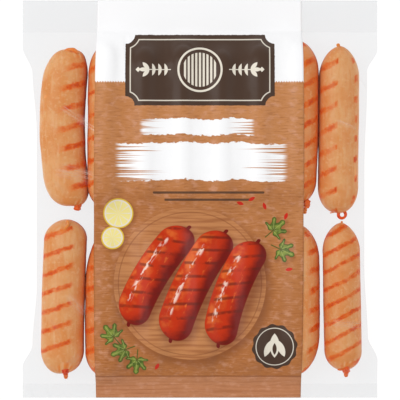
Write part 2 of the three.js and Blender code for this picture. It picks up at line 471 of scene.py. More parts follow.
@dataclass(frozen=True)
class Twist:
    """A twist of empty casing, a tapering tube from inside the sausage out.

    RINGS, SIDES and TURNS are its rings of points, the points in each and how far its pleats wind
    round it. ROUNDING, WAIST and PLEAT_DEPTH shape it as surface says. The film lies over it as TENTS
    tents, each as wide as TENT times its radius.

    Attributes:
        root: where it begins, as (x, y, z).
        tip: where it ends.
        radii: how thick it is at its root and at its tip.
        bow: how far its middle is pushed aside, as (x, y, z).
        pleats: how many folds run along it.
        redness: how red it has dried, from 0.4 for orange to 1.
        loop: whether it goes round by way of the tip and back to its root.
    """

    root: tuple[float, float, float]
    tip: tuple[float, float, float]
    radii: tuple[float, float] = (2.0, 1.5)
    bow: tuple[float, float, float] = (0.0, 0.0, 0.0)
    pleats: int = 5
    redness: float = 0.78
    loop: bool = False

    RINGS = 34
    SIDES = 30
    TURNS = 0.3
    ROUNDING = 0.4
    WAIST, WAIST_AT, WAIST_SPREAD = 0.2, 0.62, 0.12
    PLEAT_DEPTH = 0.13
    TENTS = 9
    TENT = 1.8

    def path(self) -> np.ndarray:
        """Go straight from root to tip, plus the bow times a sine's half wave.

        A loop goes round the circle that has root and tip on either side: the middle, plus the way to
        the root times the cosine and the way square to it times the sine.

        Returns:
            The points of the path.
        """
        share = np.linspace(0, 1, self.RINGS)[:, None]
        root, tip, bow = np.array(self.root), np.array(self.tip), np.array(self.bow)
        if not self.loop:
            return root + (tip - root) * share + bow * np.sin(math.pi * share)
        middle, arm = (root + tip) / 2, (root - tip) / 2
        square = np.array([-arm[1], arm[0], 0])
        return middle + arm * np.cos(2 * math.pi * share) + square * np.sin(2 * math.pi * share)

    def reach(self, x: np.ndarray, y: np.ndarray, facing: int) -> np.ndarray:
        """Say how far up, or down, film lies over the twist at (x, y), as tents along its path.

        Each tent is a parabola that clears the twist: its radius, less the distance squared over
        twice the radius, out to TENT radii.

        Args:
            x: places across the pack.
            y: places along it.
            facing: 1 for its upper side and -1 for its lower one.

        Returns:
            The height of that side times facing, and BELOW_ALL beside the twist.
        """
        top = np.full(x.shape, BELOW_ALL)
        path = self.path()
        for share in np.linspace(0, 1, self.TENTS):
            middle = path[round(share * (len(path) - 1))]
            radius = self.radii[0] + (self.radii[1] - self.radii[0]) * share
            away = (x - middle[0]) ** 2 + (y - middle[1]) ** 2
            over = facing * middle[2] + radius - away / (2 * radius)
            top = np.where(away < (self.TENT * radius) ** 2, np.maximum(top, over), top)
        return top

    def surface(self) -> Surface:
        """Carry a pleated circle along the path, narrowing to a round at both ends.

        The radius goes evenly from root to tip, times 1 - (2 share - 1)^6 to the power ROUNDING, less
        a bell of WAIST at WAIST_AT of the way, times 1 plus PLEAT_DEPTH times the pleats' cosine. The
        circle stands across the path: one axis is level, and the other is the path's direction turned
        against it.

        Returns:
            The closed tube.
        """
        path = self.path()
        share = np.linspace(0, 1, self.RINGS)[:, None]
        ahead = np.gradient(path, axis=0)
        ahead /= np.linalg.norm(ahead, axis=1)[:, None]
        level = np.cross(np.array([0, 0, 1.0]), ahead)
        level /= np.linalg.norm(level, axis=1)[:, None]
        upright = np.cross(ahead, level)
        angle = (np.arange(self.SIDES) / self.SIDES * 2 * math.pi)[None, :]
        closed = np.clip(1 - (2 * share - 1) ** 6, 0, 1) ** self.ROUNDING
        waist = 1 - self.WAIST * np.exp(-(((share - self.WAIST_AT) / self.WAIST_SPREAD) ** 2))
        pleated = 1 + self.PLEAT_DEPTH * np.cos(self.pleats * (angle + self.TURNS * 2 * math.pi * share))
        tapered = self.radii[0] + (self.radii[1] - self.radii[0]) * share
        radius = tapered * closed * waist * pleated
        around = np.cos(angle)[..., None] * level[:, None] + np.sin(angle)[..., None] * upright[:, None]
        rings = path[:, None] + radius[..., None] * around
        return capped_tube(rings)


def capped_tube(rings: np.ndarray) -> Surface:
    """Join rings of points into a tube and close it by a fan at each end.

    Args:
        rings: an (n, sides, 3) array.

    Returns:
        The closed surface. Its last two points are the middles of the first and the last ring.
    """
    count, sides = rings.shape[:2]
    number = np.arange(count * sides).reshape(count, sides)
    beside = np.roll(number, -1, axis=1)
    quads = np.stack([number[:-1], beside[:-1], beside[1:], number[1:]], axis=-1).reshape(-1, 4)
    first_fan = np.column_stack([beside[0], number[0], np.full(sides, count * sides)])
    last_fan = np.column_stack([number[-1], beside[-1], np.full(sides, count * sides + 1)])
    ends = np.stack([rings[0].mean(axis=0), rings[-1].mean(axis=0)])
    return Surface(np.vstack([rings.reshape(-1, 3), ends]), quads, np.vstack([first_fan, last_fan]))


@dataclass(frozen=True)
class End:
    """How one end of a sausage closes.

    Attributes:
        tip: the height in the pack at which the meat ends.
        x: where the sausage's axis passes there.
        cap: the length over which it closes in.
        power: how it closes: low is blunt and 1 is pointed.
        aside: how far the tip itself lies to the right of the axis.
        twists: the casing's twists there, or none for the usual one.
    """

    tip: float
    x: float
    cap: float
    power: float
    aside: float = 0
    twists: tuple[Twist, ...] = ()


@dataclass(frozen=True)
class Sausage:
    """One sausage, bent a little, with rounded ends and twisted casing at each.

    SECTION_AREA is its section in square millimetres. REST_FLAT is how deep its underside is pressed
    flat, and FLOOR_GAP is how far that stands off the table. RINGS and SIDES are its rings of points
    and the points in each. LUMPS and FINE_LUMPS give the share by which the lumps swell it and how
    long they are. PLEATS and PLEAT_DEPTH say how many pleats it has at its tips and by what share
    they swell it. FLUSH_LEFT, FLUSH_RIGHT and SHADED are stretches, as angles from its top, over
    which painted shade makes its sides redder and then darker. BAND_WAVER is how far a band wavers,
    over how many millimetres and over how many degrees. TWIST_REACH is how far the colour of a twist
    spreads. A tip within INNER of the pack's middle lies between the rows, and a plain twist at
    another one comes down to WELD_HEIGHT. PLAIN_ROOT, PLAIN_REACH and PLAIN_RADII shape such a twist
    as twists says.

    Attributes:
        header: its end towards the header.
        foot: its end towards the foot.
        middle_x: where its axis passes in its middle.
        width: its full width.
        marks: its diagonal bands.
        seed: which lumps it has.
        tone_and_side_shade: how much redder it is down its left side and down its right side, which is
            painted
        shade, and all over, which is its own tone.
    """

    header: End
    foot: End
    middle_x: float
    width: float
    marks: tuple[Marks, ...]
    seed: int
    tone_and_side_shade: tuple[float, float, float] = (0.5, 0.5, 0)

    SECTION_AREA = 640.0
    REST_FLAT = 1.3
    FLOOR_GAP = 0.4
    WELD_HEIGHT = 8.6
    RINGS = 170
    SIDES = 84
    LUMPS, FINE_LUMPS = (0.014, 14.0), (0.006, 4.0)
    PLEATS, PLEAT_DEPTH = 15, 0.035
    FLUSH_LEFT, FLUSH_RIGHT, SHADED = (0.5, 1.5), (0.6, 1.4), (1.05, 1.5)
    BAND_WAVER = (0.03, 6, 30)
    TWIST_REACH = 5.5
    INNER = 30.0
    PLAIN_ROOT, PLAIN_REACH, PLAIN_RADII = 1.5, 3.2, (1.9, 1.3)

    @property
    def thickness(self) -> float:
        """Share the same section between width and thickness, as an ellipse."""
        return self.SECTION_AREA / (math.pi / 4 * self.width)

    @property
    def axis_height(self) -> float:
        """Put the underside a little under the table, where it is pressed flat."""
        return self.thickness / 2 - self.REST_FLAT

    @property
    def middle_y(self) -> float:
        """Find the height in the pack halfway between the tips."""
        return (self.header.tip + self.foot.tip) / 2

    def closing(self, y: np.ndarray, end: End) -> np.ndarray:
        """Say how far an end has closed in at y: 0 along the body and 1 at its tip."""
        return np.clip(1 - np.abs(y - end.tip) / end.cap, 0, 1)

    def fullness(self, y: np.ndarray) -> np.ndarray:
        """Take the share of the full section at y: 1 less the closing squared, to the end's power."""
        header = (1 - self.closing(y, self.header) ** 2) ** self.header.power
        foot = (1 - self.closing(y, self.foot) ** 2) ** self.foot.power
        inside = (y <= self.header.tip) & (y >= self.foot.tip)
        return header * foot * inside

    def centre_x(self, y: np.ndarray) -> np.ndarray:
        """Bend the axis: a parabola through its two ends and its middle, drawn aside at the tips.

        Args:
            y: heights in the pack.

        Returns:
            Where the section's middle is at each.
        """
        along = np.clip((y - self.middle_y) / (self.header.tip - self.middle_y), -1, 1)
        ends = self.foot.x + (self.header.x - self.foot.x) * (along + 1) / 2
        bow = self.middle_x - (self.header.x + self.foot.x) / 2
        aside = np.where(y > self.middle_y, self.header.aside, self.foot.aside)
        return ends + bow * (1 - along**2) + aside * (1 - self.fullness(y)) ** 2

    def half_height(self, x: np.ndarray, y: np.ndarray) -> np.ndarray:
        """Take half the height of the elliptical section at (x, y), which is 0 beside it."""
        fullness = self.fullness(y)
        reach = np.maximum(fullness * self.width / 2, 1e-6)
        across = np.clip(np.abs(x - self.centre_x(y)) / reach, 0, 1)
        return fullness * self.thickness / 2 * np.sqrt(1 - across**2)

    def rings(self) -> np.ndarray:
        """Spread the rings' heights along the sausage, by a sine so that they crowd at its tips."""
        share = np.linspace(-1, 1, self.RINGS + 2)[1:-1]
        crowded = 0.25 * share + 0.75 * np.sin(share * math.pi / 2)
        crowded = np.sign(crowded) * (1 - (1 - np.abs(crowded)) ** 1.15)
        return self.middle_y + crowded * (self.header.tip - self.foot.tip) / 2

    def section(
        self, y: np.ndarray, angle: np.ndarray, swell: np.ndarray | float = 1.0
    ) -> tuple[np.ndarray, np.ndarray]:
        """Follow the elliptical section round: x goes with the angle's sine and z with its cosine.

        Args:
            y: heights in the pack, down a column.
            angle: angles from the top, along a row.
            swell: how many times as far out a point lies as the plain ellipse.

        Returns:
            The places across the pack and above the table.
        """
        fullness = self.fullness(y) * swell
        x = self.centre_x(y) + fullness * self.width / 2 * np.sin(angle)
        z = self.axis_height + fullness * self.thickness / 2 * np.cos(angle)
        return x, z

    def twist_pull(self, y: np.ndarray, angle: np.ndarray) -> np.ndarray:
        """Say how near each point is to a twist, from 0 to half of its redness."""
        nearness = np.zeros(np.broadcast_shapes(y.shape, angle.shape))
        x, z = self.section(y, angle)
        for twist in self.twists():
            root = np.array(twist.root)
            away = np.sqrt((x - root[0]) ** 2 + (y - root[1]) ** 2 + (z - root[2]) ** 2)
            near = 1 - smoothstep(away, twist.radii[0], twist.radii[0] + self.TWIST_REACH)
            nearness = np.maximum(nearness, 0.5 * twist.redness * near)
        return nearness

    def surface(self) -> Surface:
        """Carry an elliptical section along the bent axis and close it at both tips.

        Each section is the ellipse that half_height gives, swollen by low seeded lumps and, near
        the tips, by pleats: the cosine of PLEATS turns, which waver. What would lie under the table
        is pressed flat.

        Returns:
            The sausage, with its bands, its nearness to a twist, its pleats, its redder tone and
            painted side shade, and its painted shade low on its sides kept at the points.
        """
        y = self.rings()[:, None]
        angle = (np.arange(self.SIDES) / self.SIDES * 2 * math.pi)[None, :]
        lumps = Ripple(self.seed + 11)
        turn = 4 * np.abs(angle / math.pi - 1)
        (high, length), (fine_high, fine_length) = self.LUMPS, self.FINE_LUMPS
        swell = 1 + high * lumps.at(y / length, turn)
        swell = swell + fine_high * lumps.at(y / fine_length + 7, turn * 2.6)
        pleat = np.cos(self.PLEATS * angle + 2.2 * lumps.at(angle * 3, 5.5))
        swell = swell + self.PLEAT_DEPTH * pleat * (1 - smoothstep(self.fullness(y), 0.15, 0.75))

        x, z = self.section(y, angle, swell)
        z = np.maximum(z, self.FLOOR_GAP)
        body = capped_tube(np.stack(np.broadcast_arrays(x, y, z), axis=-1))

        angle = np.where(angle > math.pi, angle - 2 * math.pi, angle)
        kept = self.wind(y, angle, lumps)
        kept["twist"] = self.twist_pull(y, angle)
        kept["pleat"] = pleat * smoothstep(kept["twist"], 0.02, 0.26)
        # Painted shade: a side turns redder by the weight given for it; the third weight is a redder tone
        # all over.
        left, right, even = self.tone_and_side_shade
        sides = left * smoothstep(-angle, *self.FLUSH_LEFT) + right * smoothstep(angle, *self.FLUSH_RIGHT)
        kept["tone_and_side_shade"] = np.broadcast_to(even + (1 - even) * sides, kept["twist"].shape)
        # Painted shade: darker low on a side that touches another sausage.
        shade = left * smoothstep(-angle, *self.SHADED) + right * smoothstep(angle, *self.SHADED)
        kept["shade"] = np.broadcast_to(shade, kept["twist"].shape)
        body.values = {name: np.append(values.ravel(), [0, 0]) for name, values in kept.items()}
        for twist in self.twists():
            values = dict.fromkeys(kept, 0.0)
            values["twist"] = twist.redness
            body = body.joined(twist.surface(), values)
        return body

    def wind(self, y: np.ndarray, angle: np.ndarray, lumps: Ripple) -> dict[str, np.ndarray]:
        """Work out where the diagonal bands lie.

        They waver a little, but run straight, as grill bars leave them. The count of bands goes up by
        one from each band to the next: it is the height in the pack, less the slope times the way
        across, less the first band's height, over the pitch. Each set of marks covers its own range
        of angles.

        Args:
            y: heights in the pack, down a column.
            angle: angles from the top, along a row.
            lumps: the sausage's seeded ripple, which makes the bands waver.

        Returns:
            The count of bands, the share of the pitch that half a band takes, and how strongly they
            show, at each height and angle.
        """
        shape = np.broadcast_shapes(y.shape, angle.shape)
        bands, thick, cover = np.zeros(shape), np.zeros(shape), np.zeros(shape)
        degrees = np.degrees(angle)
        across = self.section(y, angle)[0] - self.centre_x(y)
        along = (y - self.middle_y) / (self.header.tip - self.middle_y)
        wavering, over_length, over_degrees = self.BAND_WAVER
        waver = wavering * lumps.at(y / over_length, degrees / over_degrees)
        for marks in self.marks:
            count = (y - marks.slope * across - marks.first) / marks.pitch + waver
            start = marks.start + marks.narrowing * along**2 + 5 * lumps.at(np.round(count) * 1.3, 2.5)
            begun = np.clip((degrees - start) / marks.fade, 0, 1)
            ended = smoothstep(degrees, marks.end - marks.fade, marks.end)
            uneven = 0.9 + 0.22 * lumps.at(np.round(count) * 1.7, degrees / 25)
            strength = marks.strength * begun * (1 - ended) * uneven * (count > marks.last - 0.5)
            stronger = strength > cover
            bands = np.where(stronger, count, bands)
            thick = np.where(stronger, marks.thick / marks.pitch / 2, thick)
            cover = np.where(stronger, strength, cover)
        return {"bands": bands, "thick": thick, "cover": cover}

    def twists(self) -> list[Twist]:
        """List its twists, with a plain one where an end names none.

        The plain one starts PLAIN_ROOT inside the tip and ends PLAIN_REACH past it, at the axis's
        height between the rows and down at the welds' height elsewhere.

        Returns:
            The twists, those at the header's end first.
        """
        twists = []
        for end, facing in ((self.header, 1), (self.foot, -1)):
            low = self.axis_height if abs(end.tip) < self.INNER else self.WELD_HEIGHT
            x = end.x + end.aside
            root = (x, end.tip - self.PLAIN_ROOT * facing, (self.axis_height + low) / 2)
            tip = (x, end.tip + self.PLAIN_REACH * facing, low)
            twists.extend(end.twists or (Twist(root, tip, self.PLAIN_RADII),))
        return twists


HEADER_FIRST = (
    Sausage(
        End(104.8, -91.2, 23, 0.33, -0.6, (
            Twist((-85.2, 101.2, 17.0), (-94.8, 103.4, 15.6), (1.8, 1.1), (0.8, 1.9, 1.7), 3, 0.58),
        )),
        End(-5, -90.3, 20, 0.33, 0.6, (
            Twist((-85.2, -1.5, 13.5), (-86.2, -8.2, 13), (3.3, 2.3), redness=0.68),
        )),
        -96.4, 31.7, (Marks(6.7, 14.0, -19, 118, 0.27, 4.2, 26, 24),), 1, (0, 1, 0),
    ),
    Sausage(
        End(108.5, -64.6, 22, 0.5),
        End(-6.5, -65.6, 18, 0.5),
        -65.2, 26.8, (Marks(14.9, 15.8, -112, 20, 0.4),), 2, (1, 0.5, 0.05),
    ),
)
HEADER_LAST = (
    Sausage(
        End(110.5, 69.2, 23, 0.56),
        End(-4.4, 67.2, 17, 0.56, 2, (
            Twist((75.0, -0.9, 20.4), (74.4, -5.8, 17.0), (2.2, 2.3), redness=0.66),
            Twist((73.2, -5.8, 14), (72.6, -10.4, 13.5), (2.0, 1.8), redness=0.55),
        )),
        69.4, 27.0, (Marks(6.7, 14.17, -60, 76, 0.57, 4.4),), 7, (0.8, 1, 0.4),
    ),
    Sausage(
        End(107, 97.5, 22, 0.6, 0.6, (
            Twist((97.8, 104.0, 13.4), (96.3, 108.8, 12.0), (2.0, 1.1), pleats=3, redness=0.52),
        )),
        End(-9.9, 96.4, 18, 0.47, 0.8, (
            Twist((95.6, -6.4, 13), (93.2, -9.0, 13.5), (1.7, 1.3)),
            Twist((94.2, -9.0, 13.4), (90.8, -9.9, 13.4), (0.6, 0.3), redness=0.55),
            Twist((98.2, -6.5, 13), (98.6, -9.8, 13), (1.7, 1.2), redness=0.7),
            Twist((99.3, -8.3, 13.4), (99.3, -13.3, 13), (1.12, 1.12), pleats=3, redness=0.87, loop=True),
        )),
        96.9, 28.3,
        (
            Marks(7.6, 14.87, -112, -4, 0.5, 3.8, 6, strength=0.8),
            Marks(7.6, 14.87, -13, -3, 0.5, 3.8, 5, strength=1.4),
            Marks(-4.9, 13.9, 43, 69, 0.45, 4.4, 8, strength=1.12),
        ),
        8, (0.2, 0, 0.06),
    ),
)
FOOT_FIRST = (
    Sausage(
        End(-14.2, -93.4, 14, 0.56, 0, (
            Twist((-94.8, -21.4, 23.2), (-93.1, -15.2, 18.4), (0.9, 1.0), (2.2, 0.6, 0.9), 3, 0.46),
        )),
        End(-122.2, -96.3, 18, 0.42, -1.8, (
            Twist((-94.0, -118.4, 20.6), (-94.0, -121.4, 16.4), (2.4, 2.4), pleats=4, redness=0.93),
            Twist((-94.0, -120.4, 14.5), (-93.9, -125.6, 9.8), (1.9, 1.4), redness=0.62),
        )),
        -95.6, 30.2, (Marks(-101.15, 13.2, -112, 32, 0.35, 3.5, 14, last=0),), 9, (0, 0.75, 0.05),
    ),
    Sausage(
        End(-21, -65, 42, 0.56),
        End(-125.5, -65, 18, 0.56, 0, (
            Twist((-65, -123.4, 9.6), (-65, -127.6, 8.7), (1.5, 1.1)),
        )),
        -65.6, 29.8, (Marks(-101.6, 14.4, -112, -10, 0.4, 4.2),), 10, (1, 0.5, 0.55),
    ),
)
FOOT_LAST = (
    Sausage(
        End(-17.5, 67.6, 25, 0.56),
        End(-123, 67.6, 28, 0.56),
        68.4, 31, (Marks(-109.5, 13.6, 22, 120, 0.5, 4.2),), 14, (0.5, 0.65, 0.05),
    ),
    Sausage(
        End(-16.4, 98.5, 20, 0.675, 0.2, (
            Twist((98.9, -18.8, 13.6), (99.3, -15.4, 13), (1.1, 0.7), pleats=3, redness=0.45),
        )),
        End(-119.9, 100.3, 14, 0.53, 0, (
            Twist((102.2, -115.8, 22.8), (102.2, -121.0, 14.6), (2.3, 2.6), pleats=4, redness=0.74),
            Twist((102.2, -119.4, 14), (102.3, -124.4, 10.6), (2.0, 1.4), redness=0.64),
            Twist((101.6, -117.4, 20.8), (96.2, -118.8, 16.8), (1.4, 1.0), (0, -0.5, 0.4), redness=0.66),
        )),
        99.3, 26.4,
        (
            Marks(-106.3, 12.27, -112, 112, 0.53, 3.2),
            Marks(-106.3, 12.27, -84, -50, 0.53, 3.0, strength=1.4),
            Marks(-106.3, 12.27, 40, 80, 0.53, 3.2, strength=1.35),
        ),
        15, (0.5, 0.3, 0.1),
    ),
)


@dataclass(frozen=True)
class HiddenSausages:
    """The sausages of a row that lie under the printed band.

    CAP_POWER is how their ends close, and BAND_PITCH and BAND_SLOPE are those of their bands.

    Attributes:
        count: how many there are.
        header_tip: about where they end towards the header.
        foot_tip: about where they end towards the foot.
        width: their width.
        caps: the lengths over which their ends close in.
        uneven: how far their tips stray.
    """

    count: int
    header_tip: float
    foot_tip: float
    width: float
    caps: tuple[float, float]
    uneven: float = 2.0

    CAP_POWER = 0.56
    BAND_PITCH, BAND_SLOPE = 13.8, 0.45

    def between(self, left: Sausage, right: Sausage) -> list[Sausage]:
        """Spread them evenly, with the sine of a sausage's number making each tip stray.

        Args:
            left: the last sausage before them.
            right: the first one after them.

        Returns:
            The hidden sausages.
        """
        sausages = []
        for index in range(self.count):
            share = (index + 1) / (self.count + 1)
            x = left.middle_x + (right.middle_x - left.middle_x) * share
            header_tip = self.header_tip + self.uneven * math.sin(2.4 * index)
            foot_tip = self.foot_tip + self.uneven * math.sin(1.7 * index + 2)
            header = End(header_tip, x, self.caps[0], self.CAP_POWER)
            foot = End(foot_tip, x, self.caps[1], self.CAP_POWER)
            first, start, end = foot_tip + 6 + index, -90 + 25 * index, 80 + 10 * index
            marks = Marks(first, self.BAND_PITCH, start, end, self.BAND_SLOPE)
            seed = 30 + index + int(abs(foot_tip))
            sausages.append(Sausage(header, foot, x, self.width, (marks,), seed))
        return sausages


HEADER_HIDDEN = HiddenSausages(count=4, header_tip=108, foot_tip=-6, width=26.6, caps=(18, 17))
FOOT_HIDDEN = HiddenSausages(count=3, header_tip=-17, foot_tip=-120, width=30.8, caps=(20, 20))


def all_sausages() -> list[Sausage]:
    """List the header row and then the foot row, each from left to right."""
    rows = ((HEADER_FIRST, HEADER_HIDDEN, HEADER_LAST), (FOOT_FIRST, FOOT_HIDDEN, FOOT_LAST))
    sausages = []
    for first, hidden, last in rows:
        sausages += [*first, *hidden.between(first[-1], last[0]), *last]
    return sausages


@dataclass(frozen=True)
class Flare:
    """How much wider the tube gets between two heights from its middle.

    Attributes:
        side: 1 for the right side and -1 for the left.
        end: 1 towards the header and -1 towards the foot.
        start: the height from the middle at which it begins.
        stop: the height at which it is done.
        by: how much wider it gets.
    """

    side: int
    end: int
    start: float
    stop: float
    by: float


@dataclass(frozen=True)
class Folds:
    """A family of sharp folds that fan out from the welds.

    Attributes:
        width: from one to the next.
        length: over how far along the pack they change.
        lean: how much they fan out, as FilmTube says.
        start: where in the ripple they are taken.
        height: how high they stand.
    """

    width: float
    length: float
    lean: float
    start: float
    height: float


@dataclass
class FilmTube:
    """The clear film: a tube welded flat at both ends and drawn close round the sausages.

    BAND_SKIN and SEAM_SKIN give how high the lower and the upper side of the printed band and of the
    seam stand, from the sheet's points, and SEAM_COLUMNS is how many columns the seam reaches to each
    side. SLACK is how far above the sausages film begins to fold and folds fully. FAN_GROWS and
    FAN_DIES are the distances from a weld over which its folds grow and die away. FAN_SPREAD from the
    pack's middle they go aside by their lean for each millimetre that they go on, and in proportion
    elsewhere. RIPPLE_HEIGHT, RIPPLE_SCALE and RIPPLE_LEAN shape the ripples of slack film. The welds'
    ribs are RIB_HEIGHT high. HEADER_RIBS holds how far each lies inside the header's edge and how
    wide it is. Those at the foot repeat after FOOT_RIB_PITCH and begin over FOOT_RIBS_GROW.

    Attributes:
        length: header edge to foot edge.
        header_weld: depth of the flat band at the header.
        foot_weld: depth of the flat band at the foot.
        weld_height: where the stiff flat bands stand above the table.
        crease_height: the fold along each side, above the table.
        rim_thickness: the two sheets together, where they meet.
        gap: air between film and casing.
        drawn_in: curvature of the film where it dips between sausages, 1/mm.
        waist: half the tube's width at its waist, to the left and to the right.
        flares: where it gets wider than that, which makes it 248.6 wide at its welded ends.
        flattening: the stretches over which its sides come down to the welds, from the pack's middle
            towards the header and towards the foot.
        band_edges: the printed band's left and right edges at the header, the middle and the foot.
        columns: how many facets lie across the left side, the printed band and the right side.
        rows: how many lie along the pack.
        sweeps: how often the film is settled.
        folds: the folds at the welds, coarse and fine.
    """

    length: float = 278.6
    header_weld: float = 22.4
    foot_weld: float = 9.8
    weld_height: float = 8.0
    crease_height: float = 13.0
    rim_thickness: float = 0.24
    gap: float = 0.3
    drawn_in: float = 0.045
    waist: tuple[float, float] = (114.2, 115.0)
    flares: tuple[Flare, ...] = (
        Flare(-1, 1, 45, 92, 3.1),
        Flare(-1, 1, 88, 107, 7),
        Flare(-1, -1, 60, 103, 3.1),
        Flare(-1, -1, 102, 118, 7),
        Flare(1, 1, 20, 80, 1.9),
        Flare(1, 1, 89, 105, 7.4),
        Flare(1, -1, 45, 100, 2.5),
        Flare(1, -1, 96, 113, 6.8),
    )
    flattening: tuple[tuple[float, float], tuple[float, float]] = ((86, 117), (100, 129))
    band_edges: tuple[tuple[float, float], ...] = ((-71.7, 71.2), (-74.0, 72.3), (-72.9, 70.6))
    columns: tuple[int, int, int] = (46, 104, 46)
    rows: int = 242
    sweeps: int = 1500
    folds: tuple[Folds, ...] = (Folds(5.2, 60, 0.12, 0, 0.75), Folds(2.6, 40, -0.2, 30, 0.3))

    BAND_SKIN = (0.05, 0.17)
    SEAM_SKIN = (0.1, 0.25)
    SEAM_COLUMNS = 4
    SLACK = (0.2, 2.5)
    FAN_GROWS, FAN_DIES, FAN_SPREAD = (0, 5), (9, 26), 70
    RIPPLE_HEIGHT, RIPPLE_SCALE, RIPPLE_LEAN = 0.35, (30, 6), 0.35
    RIB_HEIGHT = 0.1
    HEADER_RIBS = ((19.8, 1.2), (2.2, 1.1))
    FOOT_RIB_PITCH, FOOT_RIBS_GROW = 3.3, (0.3, 1.6)

    def half_width(self, side: int, y: np.ndarray) -> np.ndarray:
        """Add the flares that y has passed to the waist's half width."""
        width = np.full_like(y, self.waist[0] if side < 0 else self.waist[1])
        for flare in self.flares:
            if flare.side == side:
                width += flare.by * smoothstep(flare.end * y, flare.start, flare.stop)
        return width

    def rim_height(self, y: np.ndarray) -> np.ndarray:
        """Bring the waist's fold down to the welds at both ends."""
        header, foot = self.flattening
        flattened = smoothstep(y, *header) + smoothstep(-y, *foot)
        return self.crease_height + (self.weld_height - self.crease_height) * flattened

    def band_edge(self, side: int, y: np.ndarray) -> np.ndarray:
        """Draw the printed band's edge as a parabola through its three known points."""
        header, middle, foot = (edges[0 if side < 0 else 1] for edges in self.band_edges)
        along = y / (self.length / 2)
        return middle + (header - foot) / 2 * along + ((header + foot) / 2 - middle) * along**2

    def weld_edges(self) -> tuple[float, float]:
        """Give the heights at which the header's and the foot's welds begin."""
        return self.length / 2 - self.header_weld, self.foot_weld - self.length / 2

    def grid(self) -> tuple[np.ndarray, np.ndarray]:
        """Lay out the sheet's columns between its two rims, with lines of them on the band's edges.

        Returns:
            x and y of each point, from the header down and from left to right.
        """
        y = np.linspace(self.length / 2, -self.length / 2, self.rows + 1)[:, None]
        stops = [
            -self.half_width(-1, y),
            self.band_edge(-1, y),
            self.band_edge(1, y),
            self.half_width(1, y),
        ]
        spans = [
            start + (stop - start) * (np.arange(count) / count)[None, :]
            for start, stop, count in zip(stops, stops[1:], self.columns)
        ]
        x = np.hstack([*spans, stops[-1]])
        return x, np.broadcast_to(y, x.shape)

    def settle(self, sheet: Sheet, sausages: list[Sausage]) -> np.ndarray:
        """Stretch one sheet over the sausages.

        Each free point goes, over and over, to the mean of its four neighbours weighted by how near
        they are, and a little towards the other sheet, but never into a sausage nor past the rim.

        Args:
            sheet: the front or the back.
            sausages: what the sheet lies on.

        Returns:
            The sheet's points, row by row.
        """
        x, y = self.grid()
        facing = sheet.value
        rim = facing * self.rim_height(y) + self.rim_thickness / 2
        limit = rim
        for sausage in sausages:
            half = sausage.half_height(x, y)
            over = np.where(half > 0, facing * sausage.axis_height + half, BELOW_ALL)
            for twist in sausage.twists():
                over = np.maximum(over, twist.reach(x, y, facing))
            limit = np.maximum(limit, over + self.gap)
        if sheet is Sheet.BACK:
            limit = np.minimum(limit, 0)
        header, foot = self.weld_edges()
        free = (y < header) & (y > foot)
        free[:, [0, -1]] = False
        limit = np.where(free, limit, rim)

        step = self.length / self.rows
        left, right = x[1:-1, 1:-1] - x[1:-1, :-2], x[1:-1, 2:] - x[1:-1, 1:-1]
        to_left, to_right = 2 / ((left + right) * left), 2 / ((left + right) * right)
        to_ends = 1 / step**2
        total = to_left + to_right + 2 * to_ends
        height = limit.copy()
        for _ in range(self.sweeps):
            pulled = to_left * height[1:-1, :-2] + to_right * height[1:-1, 2:]
            pulled += to_ends * (height[:-2, 1:-1] + height[2:, 1:-1])
            mean = (pulled - self.drawn_in) / total
            settled = np.maximum(mean, limit[1:-1, 1:-1])
            height[1:-1, 1:-1] = np.where(free[1:-1, 1:-1], settled, rim[1:-1, 1:-1])
        slack = smoothstep(height - limit, *self.SLACK) * free
        return np.stack([x, y, facing * (height + self.wrinkles(sheet, x, y, slack))], axis=-1)

    def wrinkles(self, sheet: Sheet, x: np.ndarray, y: np.ndarray, slack: np.ndarray) -> np.ndarray:
        """Work out the folds of the film, which stand out from the sausages.

        Folds fan out from the welds and die away towards the sausages. Between sausages, slack film
        ripples along the gap. Across a weld run the flat ribs of the welding bars.

        Args:
            sheet: the front or the back.
            x: the grid's places across.
            y: the grid's places along.
            slack: 1 where the film is free and 0 where it lies on a casing.

        Returns:
            How far each point stands out.
        """
        ripple = Ripple(5 if sheet is Sheet.FRONT else 6)
        header, foot = self.weld_edges()
        from_header, from_foot = header - y, y - foot
        near_weld = np.minimum(from_header, from_foot)
        fan = smoothstep(near_weld, *self.FAN_GROWS) * (1 - smoothstep(near_weld, *self.FAN_DIES))
        tilt = x / self.FAN_SPREAD * near_weld
        fanned = np.zeros_like(x)
        for fold in self.folds:
            place = (x + fold.lean * tilt) / fold.width + fold.start
            fanned += fold.height * (1 - np.abs(ripple.at(place, y / fold.length))) ** 3
        across, along = self.RIPPLE_SCALE
        crest = 1 - np.abs(ripple.at(x / across + 9, (y + self.RIPPLE_LEAN * x) / along))
        rippled = self.RIPPLE_HEIGHT * crest**2
        return slack * (fan * fanned + rippled * (1 - fan)) + self.ribs(y)

    def ribs(self, y: np.ndarray) -> np.ndarray:
        """Press shallow ribs across the welds: two at the header and a row of them at the foot."""
        into_foot = self.weld_edges()[1] - y
        foot_ribs = 0.5 - 0.5 * np.cos(into_foot * 2 * math.pi / self.FOOT_RIB_PITCH)
        ribs = foot_ribs * smoothstep(into_foot, *self.FOOT_RIBS_GROW)
        for depth, width in self.HEADER_RIBS:
            ribs = ribs + np.exp(-(((y - self.length / 2 + depth) / width) ** 2))
        return self.RIB_HEIGHT * ribs

    def skin(self, sheet: np.ndarray, columns: slice, heights: tuple[float, float]) -> Surface:
        """Lay a thin closed skin along some of a sheet's columns.

        Args:
            sheet: the sheet's points.
            columns: the columns that the skin covers.
            heights: how high its lower and its upper side stand from the sheet.

        Returns:
            The skin.
        """
        lower, upper = (sheet[:, columns] + np.array([0, 0, height]) for height in heights)
        return slab(upper, lower)

    def band(self, front: np.ndarray) -> Surface:
        """Lay the printed band on the front sheet's points."""
        left, across, _ = self.columns
        return self.skin(front, slice(left, left + across + 1), self.BAND_SKIN)

